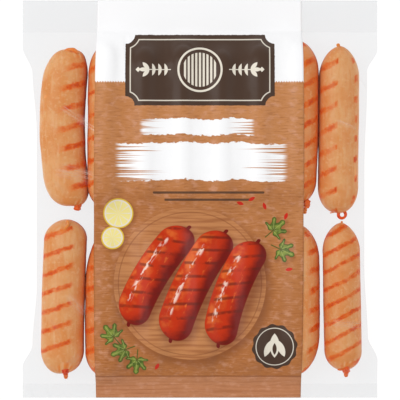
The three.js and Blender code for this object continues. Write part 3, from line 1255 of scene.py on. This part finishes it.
    def seam(self, back: np.ndarray) -> Surface:
        """Lay the tube's own seam up the middle of the back sheet's points, just inside them."""
        middle, half = back.shape[1] // 2, self.SEAM_COLUMNS
        return self.skin(back, slice(middle - half, middle + half + 1), self.SEAM_SKIN)


@dataclass(frozen=True)
class CasingFinish:
    """Raw sausage in a moist, thin casing.

    Attributes:
        meat: the plain colour of meat through the casing.
        ruddy: the same where it is redder.
        red_tone_and_shade: the same where it is redder all over, and the painted shade down a side and in
            the
        grooves of its pleats.
        deep: the painted shade low on a side that touches another sausage.
        fat_and_highlight: its pale specks, and the painted highlight on the ridges of its pleats.
        dark: its dark specks.
        band: the darker diagonal bands.
        band_core: the middle of a band.
        charred: the middle of a band where it is strongest.
        twist: the casing near a twist.
        twist_core: the twist itself.
        twist_fold: its darkest folds.
    """

    meat: tuple[float, ...] = linear(236, 172, 112)
    ruddy: tuple[float, ...] = linear(230, 147, 77)
    red_tone_and_shade: tuple[float, ...] = linear(230, 116, 40)
    deep: tuple[float, ...] = linear(150, 34, 0)
    fat_and_highlight: tuple[float, ...] = linear(242, 198, 148)
    dark: tuple[float, ...] = linear(196, 104, 54)
    band: tuple[float, ...] = linear(236, 106, 0)
    band_core: tuple[float, ...] = linear(214, 68, 0)
    charred: tuple[float, ...] = linear(176, 44, 6)
    twist: tuple[float, ...] = linear(240, 142, 56)
    twist_core: tuple[float, ...] = linear(240, 94, 26)
    twist_fold: tuple[float, ...] = linear(196, 24, 4)

    def material(self) -> bpy.types.Material:
        """Build the casing's nodes: cloudy meat, painted shade, specks, grill bands, red twists."""
        paint = Paint("sausage_casing")
        place = paint.place
        clouds = paint.noise(place, 60, 3)
        grain = paint.noise(place, 420, 2)
        fine = paint.noise(place, 1100, 1)
        streaks = paint.noise(place, 500, 2)
        x, y, z = paint.millimetres()
        drawn_out = paint.noise(paint.point(x * 0.45, y * 0.07, z * 0.45), 1.0, 3)
        ink = Ink(paint, self.meat)
        ink.lay(self.ruddy, clouds.rise(0.36, 0.68))
        ink.lay(self.ruddy, drawn_out.rise(0.5, 0.68) * 0.4)
        ink.lay(self.fat_and_highlight, drawn_out.rise(0.46, 0.3) * 0.25)
        # A redder tone all over, and painted shade down the sides.
        ink.lay(self.red_tone_and_shade, paint.attribute("tone_and_side_shade") * clouds.rise(0.2, 0.6, 0.7, 1.0))
        ink.lay(self.fat_and_highlight, grain.rise(0.54, 0.7) * 0.3)
        ink.lay(self.dark, fine.rise(0.64, 0.76) * 0.3)

        # Painted shade low on the sides that touch other sausages.
        shade = paint.attribute("shade")
        ink.lay(self.deep, shade * 0.8)

        cover = paint.attribute("cover")
        waver = (paint.noise(place, 260, 2) - 0.5) * 0.2 + (paint.noise(place, 850, 2) - 0.5) * 0.2
        from_band = 0.5 - (paint.attribute("bands") + 0.5 + waver).fold(0.5)
        past = from_band - paint.attribute("thick")
        patchy = paint.noise(place, 240, 3)
        seared = past.rise(0.06, -0.05) * cover.least(1.0) * patchy.rise(0.25, 0.55, 0.66, 1.0)
        ink.lay(self.band, seared)
        core = past.rise(0.0, -0.1) * cover.rise(0.4, 1.0) * patchy.rise(0.36, 0.62)
        ink.lay(self.band_core, core * 0.8)
        hot = past.rise(-0.02, -0.12) * cover.rise(1.05, 1.5) * patchy.rise(0.3, 0.55)
        ink.lay(self.charred, hot * 0.8)

        twist = paint.attribute("twist")
        ink.lay(self.twist, twist.rise(0.03, 0.4) * streaks.rise(0.3, 0.6, 0.45, 0.95))
        # Painted highlight on the ridges of the pleats and painted shade in their grooves.
        pleat = paint.attribute("pleat")
        bare = (1.0 - seared) * 0.5
        ink.lay(self.fat_and_highlight, pleat.rise(0.1, 0.9) * bare)
        ink.lay(self.red_tone_and_shade, pleat.rise(-0.2, -0.9) * bare)
        ink.lay(self.twist_core, twist.rise(0.5, 0.76))
        ink.lay(self.twist_fold, twist.rise(0.5, 0.9, 0.0, 0.8) * streaks.rise(0.48, 0.64))
        ink.lay(self.twist_fold, twist.rise(0.86, 1.0) * 0.8)
        shader = paint.principled({
            "Base Color": ink.colour,
            "Roughness": clouds.rise(0.3, 0.7, 0.34, 0.46) + shade * 0.5,
            "Subsurface Weight": 0.15,
            "Subsurface Radius": (0.006, 0.0025, 0.001),
            "Subsurface Scale": 0.5,
            "Specular IOR Level": 0.2,
            "Normal": paint.bump(grain * 0.5 + clouds * 0.5, 0.25, 0.5),
        })
        return paint.finish(shader)


@dataclass(frozen=True)
class Glint:
    """A painted glint: fine bright lines where folds in the film would catch the light.

    Attributes:
        x: its middle.
        y: its middle.
        degrees: which way its lines run.
        half_length: half its length.
        half_width: half its width.
        strength: how much it shows.
    """

    x: float
    y: float
    degrees: float
    half_length: float
    half_width: float
    strength: float


@dataclass(frozen=True)
class FilmFinish:
    """Thin clear film with a faint haze, milkier where it is welded.

    Attributes:
        tint: what passes through one sheet.
        body: the little that the sheet shows of itself.
        glint_colour: the painted highlight of its glints, where folds would catch the light.
        haze: how much of itself a plain sheet shows.
        weld_haze: how much more the welded bands show.
        streak_haze: how much more its long faint streaks show.
        glance: how much more it shows where it is seen at a slant.
        rib: half the pitch of the fine ribs in its welds.
        glints: its painted glints, patches of fine bright lines where folds would catch the light.
    """

    tint: tuple[float, ...] = (0.93, 0.931, 0.934, 1.0)
    body: tuple[float, ...] = linear(232, 234, 236)
    glint_colour: tuple[float, ...] = linear(255, 236, 214)
    haze: float = 0.012
    weld_haze: float = 0.09
    streak_haze: float = 0.04
    glance: float = 0.05
    rib: float = 0.55
    glints: tuple[Glint, ...] = (
        Glint(-88.0, 58.5, -35, 7.0, 4.2, 0.26),
        Glint(-77.5, 50.5, -30, 5.5, 3.6, 0.24),
        Glint(-87.0, 17.5, -12, 8.0, 7.0, 0.2),
        Glint(-86.0, -73.5, -50, 5.5, 4.5, 0.2),
        Glint(102.0, 52.0, -22, 6.0, 2.4, 0.25),
        Glint(103.0, -87.0, -6, 8.0, 4.0, 0.2),
        Glint(-88.0, -112.0, 35, 3.5, 3.5, 0.13),
        Glint(73.0, -27.0, 24, 4.5, 3.5, 0.14),
    )

    def material(self, tube: FilmTube) -> bpy.types.Material:
        """Build the film's nodes: clear, gloss at a slant, crinkles, milky welds, painted glints."""
        paint = Paint("clear_film")
        x, y, _ = paint.millimetres()
        header, foot = tube.weld_edges()
        weld = y.rise(header - 0.6, header + 0.6) + y.rise(foot + 0.6, foot - 0.6)
        crinkle = paint.noise(paint.place, 120, 3)
        slant = paint.point((x * 0.8 + y * 0.5) * 0.14, (y * 0.8 - x * 0.5) * 0.03)
        streaks = paint.noise(slant, 1.0, 2).rise(0.62, 0.8)
        ribs = y.fold(self.rib) * (1 / self.rib) * weld
        tilt = paint.bump(crinkle * 0.7 + ribs * 0.3, 0.3, 0.5)
        facing = paint.node("ShaderNodeLayerWeight", inputs={"Blend": 0.5, "Normal": tilt})
        glance = Value(paint, facing.outputs["Facing"]) ** 5
        # Painted glints: patches of fine bright lines that stand in for light caught by folds in the
        # film.
        painted_glints = self.painted_glints(Plane(paint, x, y))
        share = glance * self.glance + self.haze + weld * self.weld_haze + streaks * self.streak_haze
        share = share + painted_glints
        clear = paint.node("ShaderNodeBsdfTransparent", inputs={"Color": self.tint}).outputs[0]
        sheen = paint.principled({
            "Base Color": paint.blend(painted_glints.rise(0.0, 0.12), self.body, self.glint_colour),
            "Roughness": 0.14,
            "Specular IOR Level": 1.0,
            "IOR": 1.6,
            "Normal": tilt,
        })
        mixed = paint.node("ShaderNodeMixShader", inputs={0: share, 1: clear, 2: sheen}).outputs[0]
        return paint.finish(mixed)

    def painted_glints(self, flat: "Plane") -> Value:
        """Draw the painted glints: noise drawn out along each patch, fading at its rim.

        Args:
            flat: the film's plane.

        Returns:
            How much of its painted highlight the film shows there.
        """
        shown = flat.x * 0.0
        for glint in self.glints:
            local = flat.at(glint.x, glint.y, glint.degrees)
            patch = local.bar(glint.half_length, 0.0).rise(glint.half_width, 0.0)
            lines = local.noise(0.05, 1.4, glint.x, 3)
            shown = shown.most(patch * lines.rise(0.42, 0.6, 0.06) * glint.strength)
        return shown


class Plane:
    """A place to draw on: two coordinates in millimetres, about a middle."""

    def __init__(self, paint: Paint, x: Value, y: Value) -> None:
        """Keep the coordinates and the paint that they belong to."""
        self.paint = paint
        self.x = x
        self.y = y

    def at(self, x: float, y: float, degrees: float = 0.0) -> "Plane":
        """Move the middle to (x, y) and turn the first axis by an angle.

        Args:
            x: to the right.
            y: upwards.
            degrees: anticlockwise.

        Returns:
            The moved plane.
        """
        along, across = self.x - x, self.y - y
        if not degrees:
            return Plane(self.paint, along, across)
        cos, sin = math.cos(math.radians(degrees)), math.sin(math.radians(degrees))
        return Plane(self.paint, along * cos + across * sin, across * cos - along * sin)

    def noise(self, by_x: float, by_y: float, shift: float = 0.0, detail: float = 2.0) -> Value:
        """Make noise that depends on the place here.

        Args:
            by_x: how fast it changes along the first axis.
            by_y: how fast it changes along the second axis.
            shift: a number of its own, so that it is unlike other noise.
            detail: how many finer layers it has.

        Returns:
            The noise, from 0 to 1.
        """
        return self.paint.noise(self.paint.point(self.x * by_x, self.y * by_y, shift), 1.0, detail)

    def reach(self, x: Value, y: Value) -> Value:
        """Measure the distance from the origin to (x, y)."""
        inputs = {0: self.paint.point(x, y)}
        node = self.paint.node("ShaderNodeVectorMath", {"operation": "LENGTH"}, inputs)
        return Value(self.paint, node.outputs["Value"])

    def disc(self, radius: Number) -> Value:
        """Measure the distance to a circle."""
        return self.reach(self.x, self.y) - radius

    def ring(self, radius: float, width: float) -> Value:
        """Measure the distance to a ring of a given width."""
        return abs(self.disc(radius)) - width / 2

    def box(self, half_x: float, half_y: float) -> Value:
        """Measure the distance to a rectangle, straight across its nearest side."""
        return (abs(self.x) - half_x).most(abs(self.y) - half_y)

    def bar(self, half_length: float, radius: Number) -> Value:
        """Measure the distance to a bar with round ends, along the first axis."""
        past = (abs(self.x) - half_length).most(0.0)
        return self.reach(past, self.y) - radius

    def leaf(self, half_length: float, half_width: float) -> Value:
        """Measure the distance to a leaf: what two equal circles share, point to point."""
        radius = (half_length**2 + half_width**2) / (2 * half_width)
        return self.reach(self.x, abs(self.y) + (radius - half_width)) - radius

    def sprig(self, half_length: float, pairs: int, leaf: float) -> Value:
        """Measure the distance to a sprig: pairs of slanting leaves along the first axis.

        Args:
            half_length: half the stem's length.
            pairs: how many pairs of leaves it has.
            leaf: a leaf's length.

        Returns:
            The distance to the nearest of them, or to the stem.
        """
        step = 2 * half_length / pairs
        shifted = self.x + half_length
        count = self.paint.math("FLOOR", shifted * (1 / step)).most(0.0).least(pairs - 1.0)
        local = Plane(self.paint, shifted - (count + 0.5) * step, abs(self.y))
        leaves = local.at(leaf * 0.3, leaf * 0.34, 48).leaf(leaf / 2, leaf * 0.2)
        tip = self.at(half_length + leaf * 0.25, 0).leaf(leaf / 2, leaf * 0.2)
        return leaves.least(tip).least(self.bar(half_length, 0.3))

    def fan(self, leaf: float) -> tuple[Value, Value]:
        """Measure the distance to a fan of five toothed leaves, and to the veins along them.

        The fan is the same above and below the first axis, so two leaves are drawn there and one on
        the axis. A sine along each leaf gives it teeth.

        Args:
            leaf: the middle leaf's length.

        Returns:
            The distance to the leaves and the distance to their veins.
        """
        folded = Plane(self.paint, self.x, abs(self.y))
        leaves, veins = [], []
        for degrees, share in ((0, 1.0), (44, 0.88), (92, 0.7)):
            half = leaf * share / 2
            local = folded.at(0, 0, degrees).at(half, 0)
            teeth = (local.x * (12 / leaf)).sine() * (0.045 * leaf)
            leaves.append(local.leaf(half * 1.06, half * 0.46) + teeth)
            veins.append(local.bar(half * 0.75, 0.12))
        nearest = leaves[0].least(leaves[1]).least(leaves[2])
        return nearest, veins[0].least(veins[1]).least(veins[2])


@dataclass(frozen=True)
class Glazed:
    """A grilled sausage in the print's picture.

    Attributes:
        x: its middle.
        y: its middle.
        degrees: which way it points.
        half_length: half its straight stretch.
        radius: half its thickness.
    """

    x: float
    y: float
    degrees: float
    half_length: float
    radius: float


@dataclass(frozen=True)
class PrintFinish:
    """The printed band: a white header with a dark ticket, and a picture on kraft brown.

    PAPER_EDGE is where the kraft begins and BOARD_EDGE where it ends at a table top. TICKET and BADGE are
    places. TICKET_HALF is half the ticket's width and height, and TICKET_CORNERS are the radii of its
    hollow corners and of those of its line, which runs TICKET_INSET inside its edge. STROKES hold x, y,
    half the length and half the width, RULES x, y and half the length, PLATTER and SLICES x, y and the
    radius, and FANS and FLECKS x, y and an angle in degrees.
    """

    white: tuple[float, ...] = linear(254, 254, 255)
    kraft_pale: tuple[float, ...] = linear(202, 138, 86)
    kraft_low: tuple[float, ...] = linear(179, 112, 60)
    kraft_pink: tuple[float, ...] = linear(214, 156, 124)
    fibre: tuple[float, ...] = linear(142, 82, 42)
    dark: tuple[float, ...] = linear(74, 54, 42)
    cream: tuple[float, ...] = linear(236, 228, 212)
    glaze: tuple[float, ...] = linear(198, 48, 0)
    glaze_pale: tuple[float, ...] = linear(238, 118, 46)
    glaze_dark: tuple[float, ...] = linear(116, 12, 0)
    shine: tuple[float, ...] = linear(255, 226, 210)
    char: tuple[float, ...] = linear(96, 18, 0)
    leaf: tuple[float, ...] = linear(136, 150, 62)
    leaf_dark: tuple[float, ...] = linear(70, 92, 30)
    vein: tuple[float, ...] = linear(192, 198, 118)
    pepper: tuple[float, ...] = linear(206, 40, 22)
    rind: tuple[float, ...] = linear(226, 190, 60)
    flesh: tuple[float, ...] = linear(244, 230, 150)
    wood: tuple[float, ...] = linear(196, 132, 82)
    wood_grain: tuple[float, ...] = linear(158, 94, 52)

    PAPER_EDGE = 81.0
    BOARD_EDGE = -124.0
    TICKET, TICKET_HALF = (0, 90), (52, 25)
    TICKET_CORNERS, TICKET_INSET = (6.5, 10.0), 3.5
    STROKES = ((-2, 50, 36, 5.5), (1, 26, 54, 13.0))
    RULES, RULE_RADIUS = ((6, 4.5, 38), (6, -0.5, 30)), 0.8
    PLATTER = (-7.0, -59.0, 53.0)
    PICTURE = (
        Glazed(-33.0, -51.0, 58.0, 26.5, 12.2),
        Glazed(-5.5, -58.5, 63.0, 29.0, 12.6),
        Glazed(22.0, -64.0, 69.0, 26.0, 12.0),
    )
    FAN_LEAF = 10.5
    FANS = ((51, -22, 40), (56, -35, -25), (-52, -105, 200), (-44, -112, 265), (-60, -96, 130))
    SLICES = ((-57, -10, 10.5), (-61, -27, 8.0))
    FLECKS = ((36, 0, 30), (45, -5, 110), (60, -12, 70), (62, -49, 10), (-30, -117, 60), (28, -3, 160))
    BADGE, BADGE_RADIUS, BADGE_SCALLOPS = (52, -103), 15.5, 12

    def ground(self, flat: Plane) -> Ink:
        """Print the white header and the kraft paper, whose top edge is pinked.

        Args:
            flat: the band's plane.

        Returns:
            The ink, with the ground laid.
        """
        x, y = flat.x, flat.y
        paler = (y * 0.007 + x * 0.002 + flat.noise(0.02, 0.02)).rise(-0.1, 1.4)
        ink = Ink(flat.paint, self.kraft_low)
        ink.lay(self.kraft_pale, paler)
        fibres = flat.noise(0.15, 0.95, 0.0, 4)
        ink.lay(self.kraft_pink, flat.noise(0.16, 0.22, 7.0, 3).rise(0.5, 0.72) * 0.55)
        ink.lay(self.fibre, fibres.rise(0.5, 0.74) * 0.5)
        ink.lay(self.kraft_pink, fibres.rise(0.46, 0.28) * 0.4)
        ink.lay(self.fibre, flat.noise(0.5, 1.7, 4.0).rise(0.6, 0.74) * 0.35)
        board = y.rise(self.BOARD_EDGE + 1, self.BOARD_EDGE - 1)
        ink.lay(self.kraft_pink, board * 0.35)
        ink.lay(self.wood_grain, board * flat.noise(0.02, 0.7, 9.0).rise(0.45, 0.75) * 0.6)
        ink.lay(self.fibre, (abs(y - self.BOARD_EDGE) - 0.5).inside(0.6) * 0.7)
        pinked = y - x.fold(0.9) * 1.2
        ink.lay(self.white, pinked.rise(self.PAPER_EDGE - 0.2, self.PAPER_EDGE + 0.2))
        return ink

    def ticket(self, ink: Ink, flat: Plane) -> None:
        """Print the header's dark ticket: hollow corners, a fine line and a grate in a ring.

        Args:
            ink: the print so far.
            flat: the band's plane.
        """
        middle = flat.at(*self.TICKET)
        half_x, half_y = self.TICKET_HALF
        hollow, line_hollow = self.TICKET_CORNERS
        corner = Plane(flat.paint, abs(middle.x) - half_x, abs(middle.y) - half_y)
        card = middle.box(half_x, half_y).most(-corner.disc(hollow))
        worn = flat.noise(0.5, 0.5, 2.0, 3)
        ink.lay(self.dark, (card + (worn - 0.5) * 0.8).inside())
        frame_line = middle.box(half_x - self.TICKET_INSET, half_y - self.TICKET_INSET)
        line = frame_line.most(-corner.disc(line_hollow))
        ink.lay(self.cream, (abs(line) - 0.4).inside() * 0.9)
        grate = abs(middle.x.fold(2.6) - 1.3) - 0.55
        ink.lay(self.cream, middle.disc(12).most(-grate).inside())
        ink.lay(self.cream, middle.ring(15, 1.4).inside())
        mirrored = Plane(flat.paint, abs(middle.x), middle.y)
        ink.lay(self.cream, mirrored.at(29, 0).sprig(8.5, 4, 7.0).inside())
        diamond = mirrored.at(43, 0)
        ink.lay(self.cream, (abs(diamond.x) + abs(diamond.y) - 1.8).inside())

    def brush(self, ink: Ink, flat: Plane, half_length: float, half_width: float) -> None:
        """Print a dry stroke of white brush, streaky at its ends.

        Args:
            ink: the print so far.
            flat: a plane about the stroke's middle.
            half_length: half its length.
            half_width: half its width.
        """
        paint = flat.paint
        sway = flat.y + (paint.noise(paint.point(flat.x * 0.03, 3.0), 1.0, 1) - 0.5) * 7
        edge = (abs(sway) - half_width + (flat.noise(0.3, 0.5) - 0.5) * 3.5).inside(0.6)
        worn = abs(flat.x) * (1 / half_length) * 0.42 + flat.noise(0.012, 0.9)
        ends = (abs(flat.x) - half_length * 1.08).inside(half_length * 0.1)
        ink.lay(self.white, edge * ends * worn.rise(0.98, 0.86))

    def glazed(self, ink: Ink, flat: Plane, sausage: Glazed) -> None:
        """Print a grilled sausage: shadow, glaze lit from the left, grill marks and shine.

        Args:
            ink: the print so far.
            flat: the band's plane.
            sausage: where it lies.
        """
        paint = flat.paint
        half, radius = sausage.half_length, sausage.radius
        shadow = flat.at(sausage.x + 4.5, sausage.y - 3.5, sausage.degrees).bar(half, radius)
        ink.lay(self.char, shadow.rise(5.0, -4.0) * 0.55)
        local = flat.at(sausage.x, sausage.y, sausage.degrees)
        bent = Plane(paint, local.x, local.y + local.x * local.x * (2.2 / half**2))
        shape = bent.bar(half, radius)
        knots = Plane(paint, abs(bent.x) - half - radius, bent.y).bar(1.4, 1.3)
        ink.lay(self.glaze_dark, knots.inside())

        mottle = flat.noise(0.15, 0.15, sausage.x, 4)
        from_axis = (shape + radius) * (1 / radius)
        facing = (1 - from_axis * from_axis).most(0.0) ** 0.5
        lit = facing * 0.62 + bent.y * (0.55 / radius) + (mottle - 0.5) * 0.5
        inside = shape.inside(0.5)
        ink.lay(self.glaze_dark, inside)
        ink.lay(self.glaze, inside * lit.rise(0.0, 0.62))
        ink.lay(self.glaze_pale, inside * lit.rise(0.6, 1.0) * mottle.rise(0.36, 0.62) * 0.85)
        marks = (bent.x * 0.9 + bent.y * 0.45).fold(4.8)
        seared = marks.rise(3.2, 4.4) * mottle.rise(0.36, 0.56) * facing.rise(0.1, 0.5)
        ink.lay(self.char, inside * seared * 0.7)

        streak = bent.noise(0.2, 0.45, sausage.x, 3)
        gleam = Plane(paint, bent.x, bent.y - radius * 0.48).bar(half * 0.92, 0.1)
        ink.lay(self.shine, gleam.rise(2.2, 0.2) * streak.rise(0.47, 0.6) * 0.85)
        glimmer = Plane(paint, bent.x, bent.y + radius * 0.2).bar(half * 0.8, 0.1)
        ink.lay(self.glaze_pale, glimmer.rise(1.6, 0.0) * streak.rise(0.55, 0.68) * 0.6)

    def herbs(self, ink: Ink, flat: Plane) -> None:
        """Print sprigs of herb, slices of citrus and flecks of pepper round the platter.

        Args:
            ink: the print so far.
            flat: the band's plane.
        """
        for x, y, degrees in self.FANS:
            stem = flat.at(x, y, degrees)
            leaves, veins = stem.fan(self.FAN_LEAF)
            lit = flat.noise(0.3, 0.3, x)
            ink.lay(self.fibre, stem.at(1.2, -1.4).fan(self.FAN_LEAF)[0].rise(2.0, -1.0) * 0.5)
            ink.lay(self.leaf_dark, leaves.least(stem.at(-3.5, 0).bar(3.5, 0.35)).inside(0.5))
            ink.lay(self.leaf, leaves.rise(-0.1, -1.3) * lit.rise(0.3, 0.62))
            ink.lay(self.vein, veins.inside(0.4) * 0.7)
        for x, y, radius in self.SLICES:
            middle = flat.at(x, y)
            ink.lay(self.fibre, flat.at(x + 1.5, y - 1.5).disc(radius).rise(2.5, -1.5) * 0.6)
            ink.lay(self.rind, middle.disc(radius).inside())
            ink.lay(self.cream, middle.disc(radius - 0.9).inside())
            spokes = abs(self.spoke(middle, 5)) - 0.24
            ink.lay(self.flesh, middle.disc(radius - 1.9).most(-spokes * (radius * 0.4)).inside(0.5))
        for x, y, degrees in self.FLECKS:
            ink.lay(self.pepper, flat.at(x, y, degrees).leaf(2.6, 1.2).inside())

    def spoke(self, flat: Plane, count: int) -> Value:
        """Go between -1 and 1 round the middle, crossing 0 twice count times."""
        angle = flat.paint.math("ARCTAN2", flat.y, flat.x)
        return (angle * count).sine()

    def badge(self, ink: Ink, flat: Plane) -> None:
        """Print the dark badge with a scalloped edge, a ring and a flame of three leaves.

        Args:
            ink: the print so far.
            flat: the band's plane.
        """
        middle = flat.at(*self.BADGE)
        scallops = self.spoke(middle, self.BADGE_SCALLOPS)
        ink.lay(self.dark, middle.disc(scallops * 0.5 + self.BADGE_RADIUS).inside())
        ink.lay(self.cream, middle.ring(13, 0.6).inside() * 0.9)
        flame = middle.at(0, 0.8, 90).leaf(8.5, 3.4)
        sides = Plane(flat.paint, abs(middle.x), middle.y).at(4.6, -1.2, 112).leaf(6.2, 2.3)
        ink.lay(self.cream, flame.least(sides).inside())
        ink.lay(self.dark, middle.at(0, -1.6, 90).leaf(4.2, 1.5).inside())

    def platter(self, ink: Ink, flat: Plane) -> None:
        """Print a round wooden board with its shadow, rim and grain.

        Args:
            ink: the print so far.
            flat: the band's plane.
        """
        x, y, radius = self.PLATTER
        middle = flat.at(x, y)
        grain = middle.noise(0.03, 0.5, 6.0, 3)
        ink.lay(self.fibre, flat.at(x + 2, y - 3).disc(radius).rise(6.0, -3.0) * 0.8)
        ink.lay(self.wood, middle.disc(radius).inside())
        ink.lay(self.wood_grain, middle.disc(radius).inside() * grain.rise(0.4, 0.68) * 0.75)
        ink.lay(self.fibre, middle.ring(radius - 3.2, 0.7).inside(0.5) * 0.6)

    def material(self) -> bpy.types.Material:
        """Lay the print down from its ground up."""
        paint = Paint("printed_film")
        x, y, _ = paint.millimetres()
        flat = Plane(paint, x, y)
        ink = self.ground(flat)
        self.ticket(ink, flat)
        for across, along, half_length, half_width in self.STROKES:
            self.brush(ink, flat.at(across, along), half_length, half_width)
        for across, along, half_length in self.RULES:
            ink.lay(self.dark, flat.at(across, along).bar(half_length, self.RULE_RADIUS).inside() * 0.85)
        self.platter(ink, flat)
        for sausage in self.PICTURE:
            self.glazed(ink, flat, sausage)
        self.herbs(ink, flat)
        self.badge(ink, flat)
        crinkle = paint.noise(paint.place, 90, 3)
        shader = paint.principled({
            "Base Color": ink.colour,
            "Roughness": crinkle.rise(0.3, 0.7, 0.3, 0.4),
            "Specular IOR Level": 0.2,
            "Normal": paint.bump(crinkle, 0.3, 0.35),
        })
        return paint.finish(shader)


@dataclass(frozen=True)
class Studio:
    """The pale floor, the soft lights and a camera straight above the pack.

    Attributes:
        across: how much of the pack's plane the picture shows.
        centre_y: the height in the pack that the picture is centred on.
        camera_height: from the floor to the camera.
        plane: the height above the floor at which the picture's width is measured.
        glow: how strongly the floor shines.
        sky: how strong the even light from all round is.
    """

    across: float = 280.0
    centre_y: float = -0.7
    camera_height: float = 2200.0
    plane: float = 12.0
    glow: float = 0.93
    sky: float = 0.66

    SENSOR = 36.0  # its width, in millimetres
    FLOOR_HALF, FLOOR_DROP = 3.0, 0.0002  # metres

    def camera(self) -> None:
        """Look straight down through a long lens."""
        data = bpy.data.cameras.new("camera")
        data.sensor_width = self.SENSOR
        data.lens = self.SENSOR * (self.camera_height - self.plane) / self.across
        data.clip_end = 20.0
        camera = bpy.data.objects.new("camera", data)
        camera.location = (0.0, self.centre_y * METRES, self.camera_height * METRES)
        bpy.context.scene.collection.objects.link(camera)
        bpy.context.scene.camera = camera

    def floor(self) -> None:
        """Lay a pale floor that glows, as a light table does."""
        paint = Paint("floor")
        shader = paint.principled({
            "Base Color": (0.12, 0.12, 0.12, 1.0),
            "Roughness": 0.9,
            "Specular IOR Level": 0.0,
            "Emission Color": (1.0, 1.0, 1.0, 1.0),
            "Emission Strength": self.glow,
        })
        half = self.FLOOR_HALF
        corners = [(-half, -half, 0), (half, -half, 0), (half, half, 0), (-half, half, 0)]
        mesh = bpy.data.meshes.new("floor")
        mesh.from_pydata(corners, [], [(0, 1, 2, 3)])
        mesh.materials.append(paint.finish(shader))
        floor = bpy.data.objects.new("floor", mesh)
        floor.location.z = -self.FLOOR_DROP
        bpy.context.scene.collection.objects.link(floor)

    def light(self, name: str, place: tuple[float, float, float], size: float, watts: float) -> None:
        """Hang a soft square light that points at the pack.

        Args:
            name: the light's name.
            place: where it hangs, in metres.
            size: its side, in metres.
            watts: its power.
        """
        data = bpy.data.lights.new(name, "AREA")
        data.size = size
        data.energy = watts
        light = bpy.data.objects.new(name, data)
        light.location = place
        light.rotation_euler = (-Vector(place)).to_track_quat("-Z", "Y").to_euler()
        bpy.context.scene.collection.objects.link(light)

    def lights(self) -> None:
        """Set a key light on the left, a weaker one on the right and an even sky."""
        self.light("key", (-1.3, 0.5, 1.5), 1.4, 16)
        self.light("fill", (1.4, -0.2, 1.3), 1.4, 4)
        world = bpy.data.worlds.new("studio")
        world.use_nodes = True
        background = world.node_tree.nodes["Background"]
        background.inputs["Color"].default_value = (1.0, 1.0, 1.0, 1.0)
        background.inputs["Strength"].default_value = self.sky
        bpy.context.scene.world = world

    def build(self) -> None:
        """Set everything up."""
        self.camera()
        self.floor()
        self.lights()
        bpy.context.scene.view_settings.view_transform = "Standard"


def main() -> None:
    """Build the pack's pieces in order and light them."""
    logging.basicConfig(level=logging.INFO, format="%(name)s %(message)s")
    Studio().build()
    sausages = all_sausages()
    casing = CasingFinish().material()
    for index, sausage in enumerate(sausages):
        sausage.surface().piece(f"sausage_{index + 1:02d}", casing, Slot.CASING)
    tube = FilmTube()
    film = FilmFinish().material(tube)
    front = tube.settle(Sheet.FRONT, sausages)
    back = tube.settle(Sheet.BACK, sausages)
    slab(front, back).piece("film_tube", film, Slot.FILM)
    tube.band(front).piece("printed_band", PrintFinish().material(), Slot.PRINT)
    tube.seam(back).piece("back_seam", film, Slot.FILM)


if __name__ == "__main__":
    main()
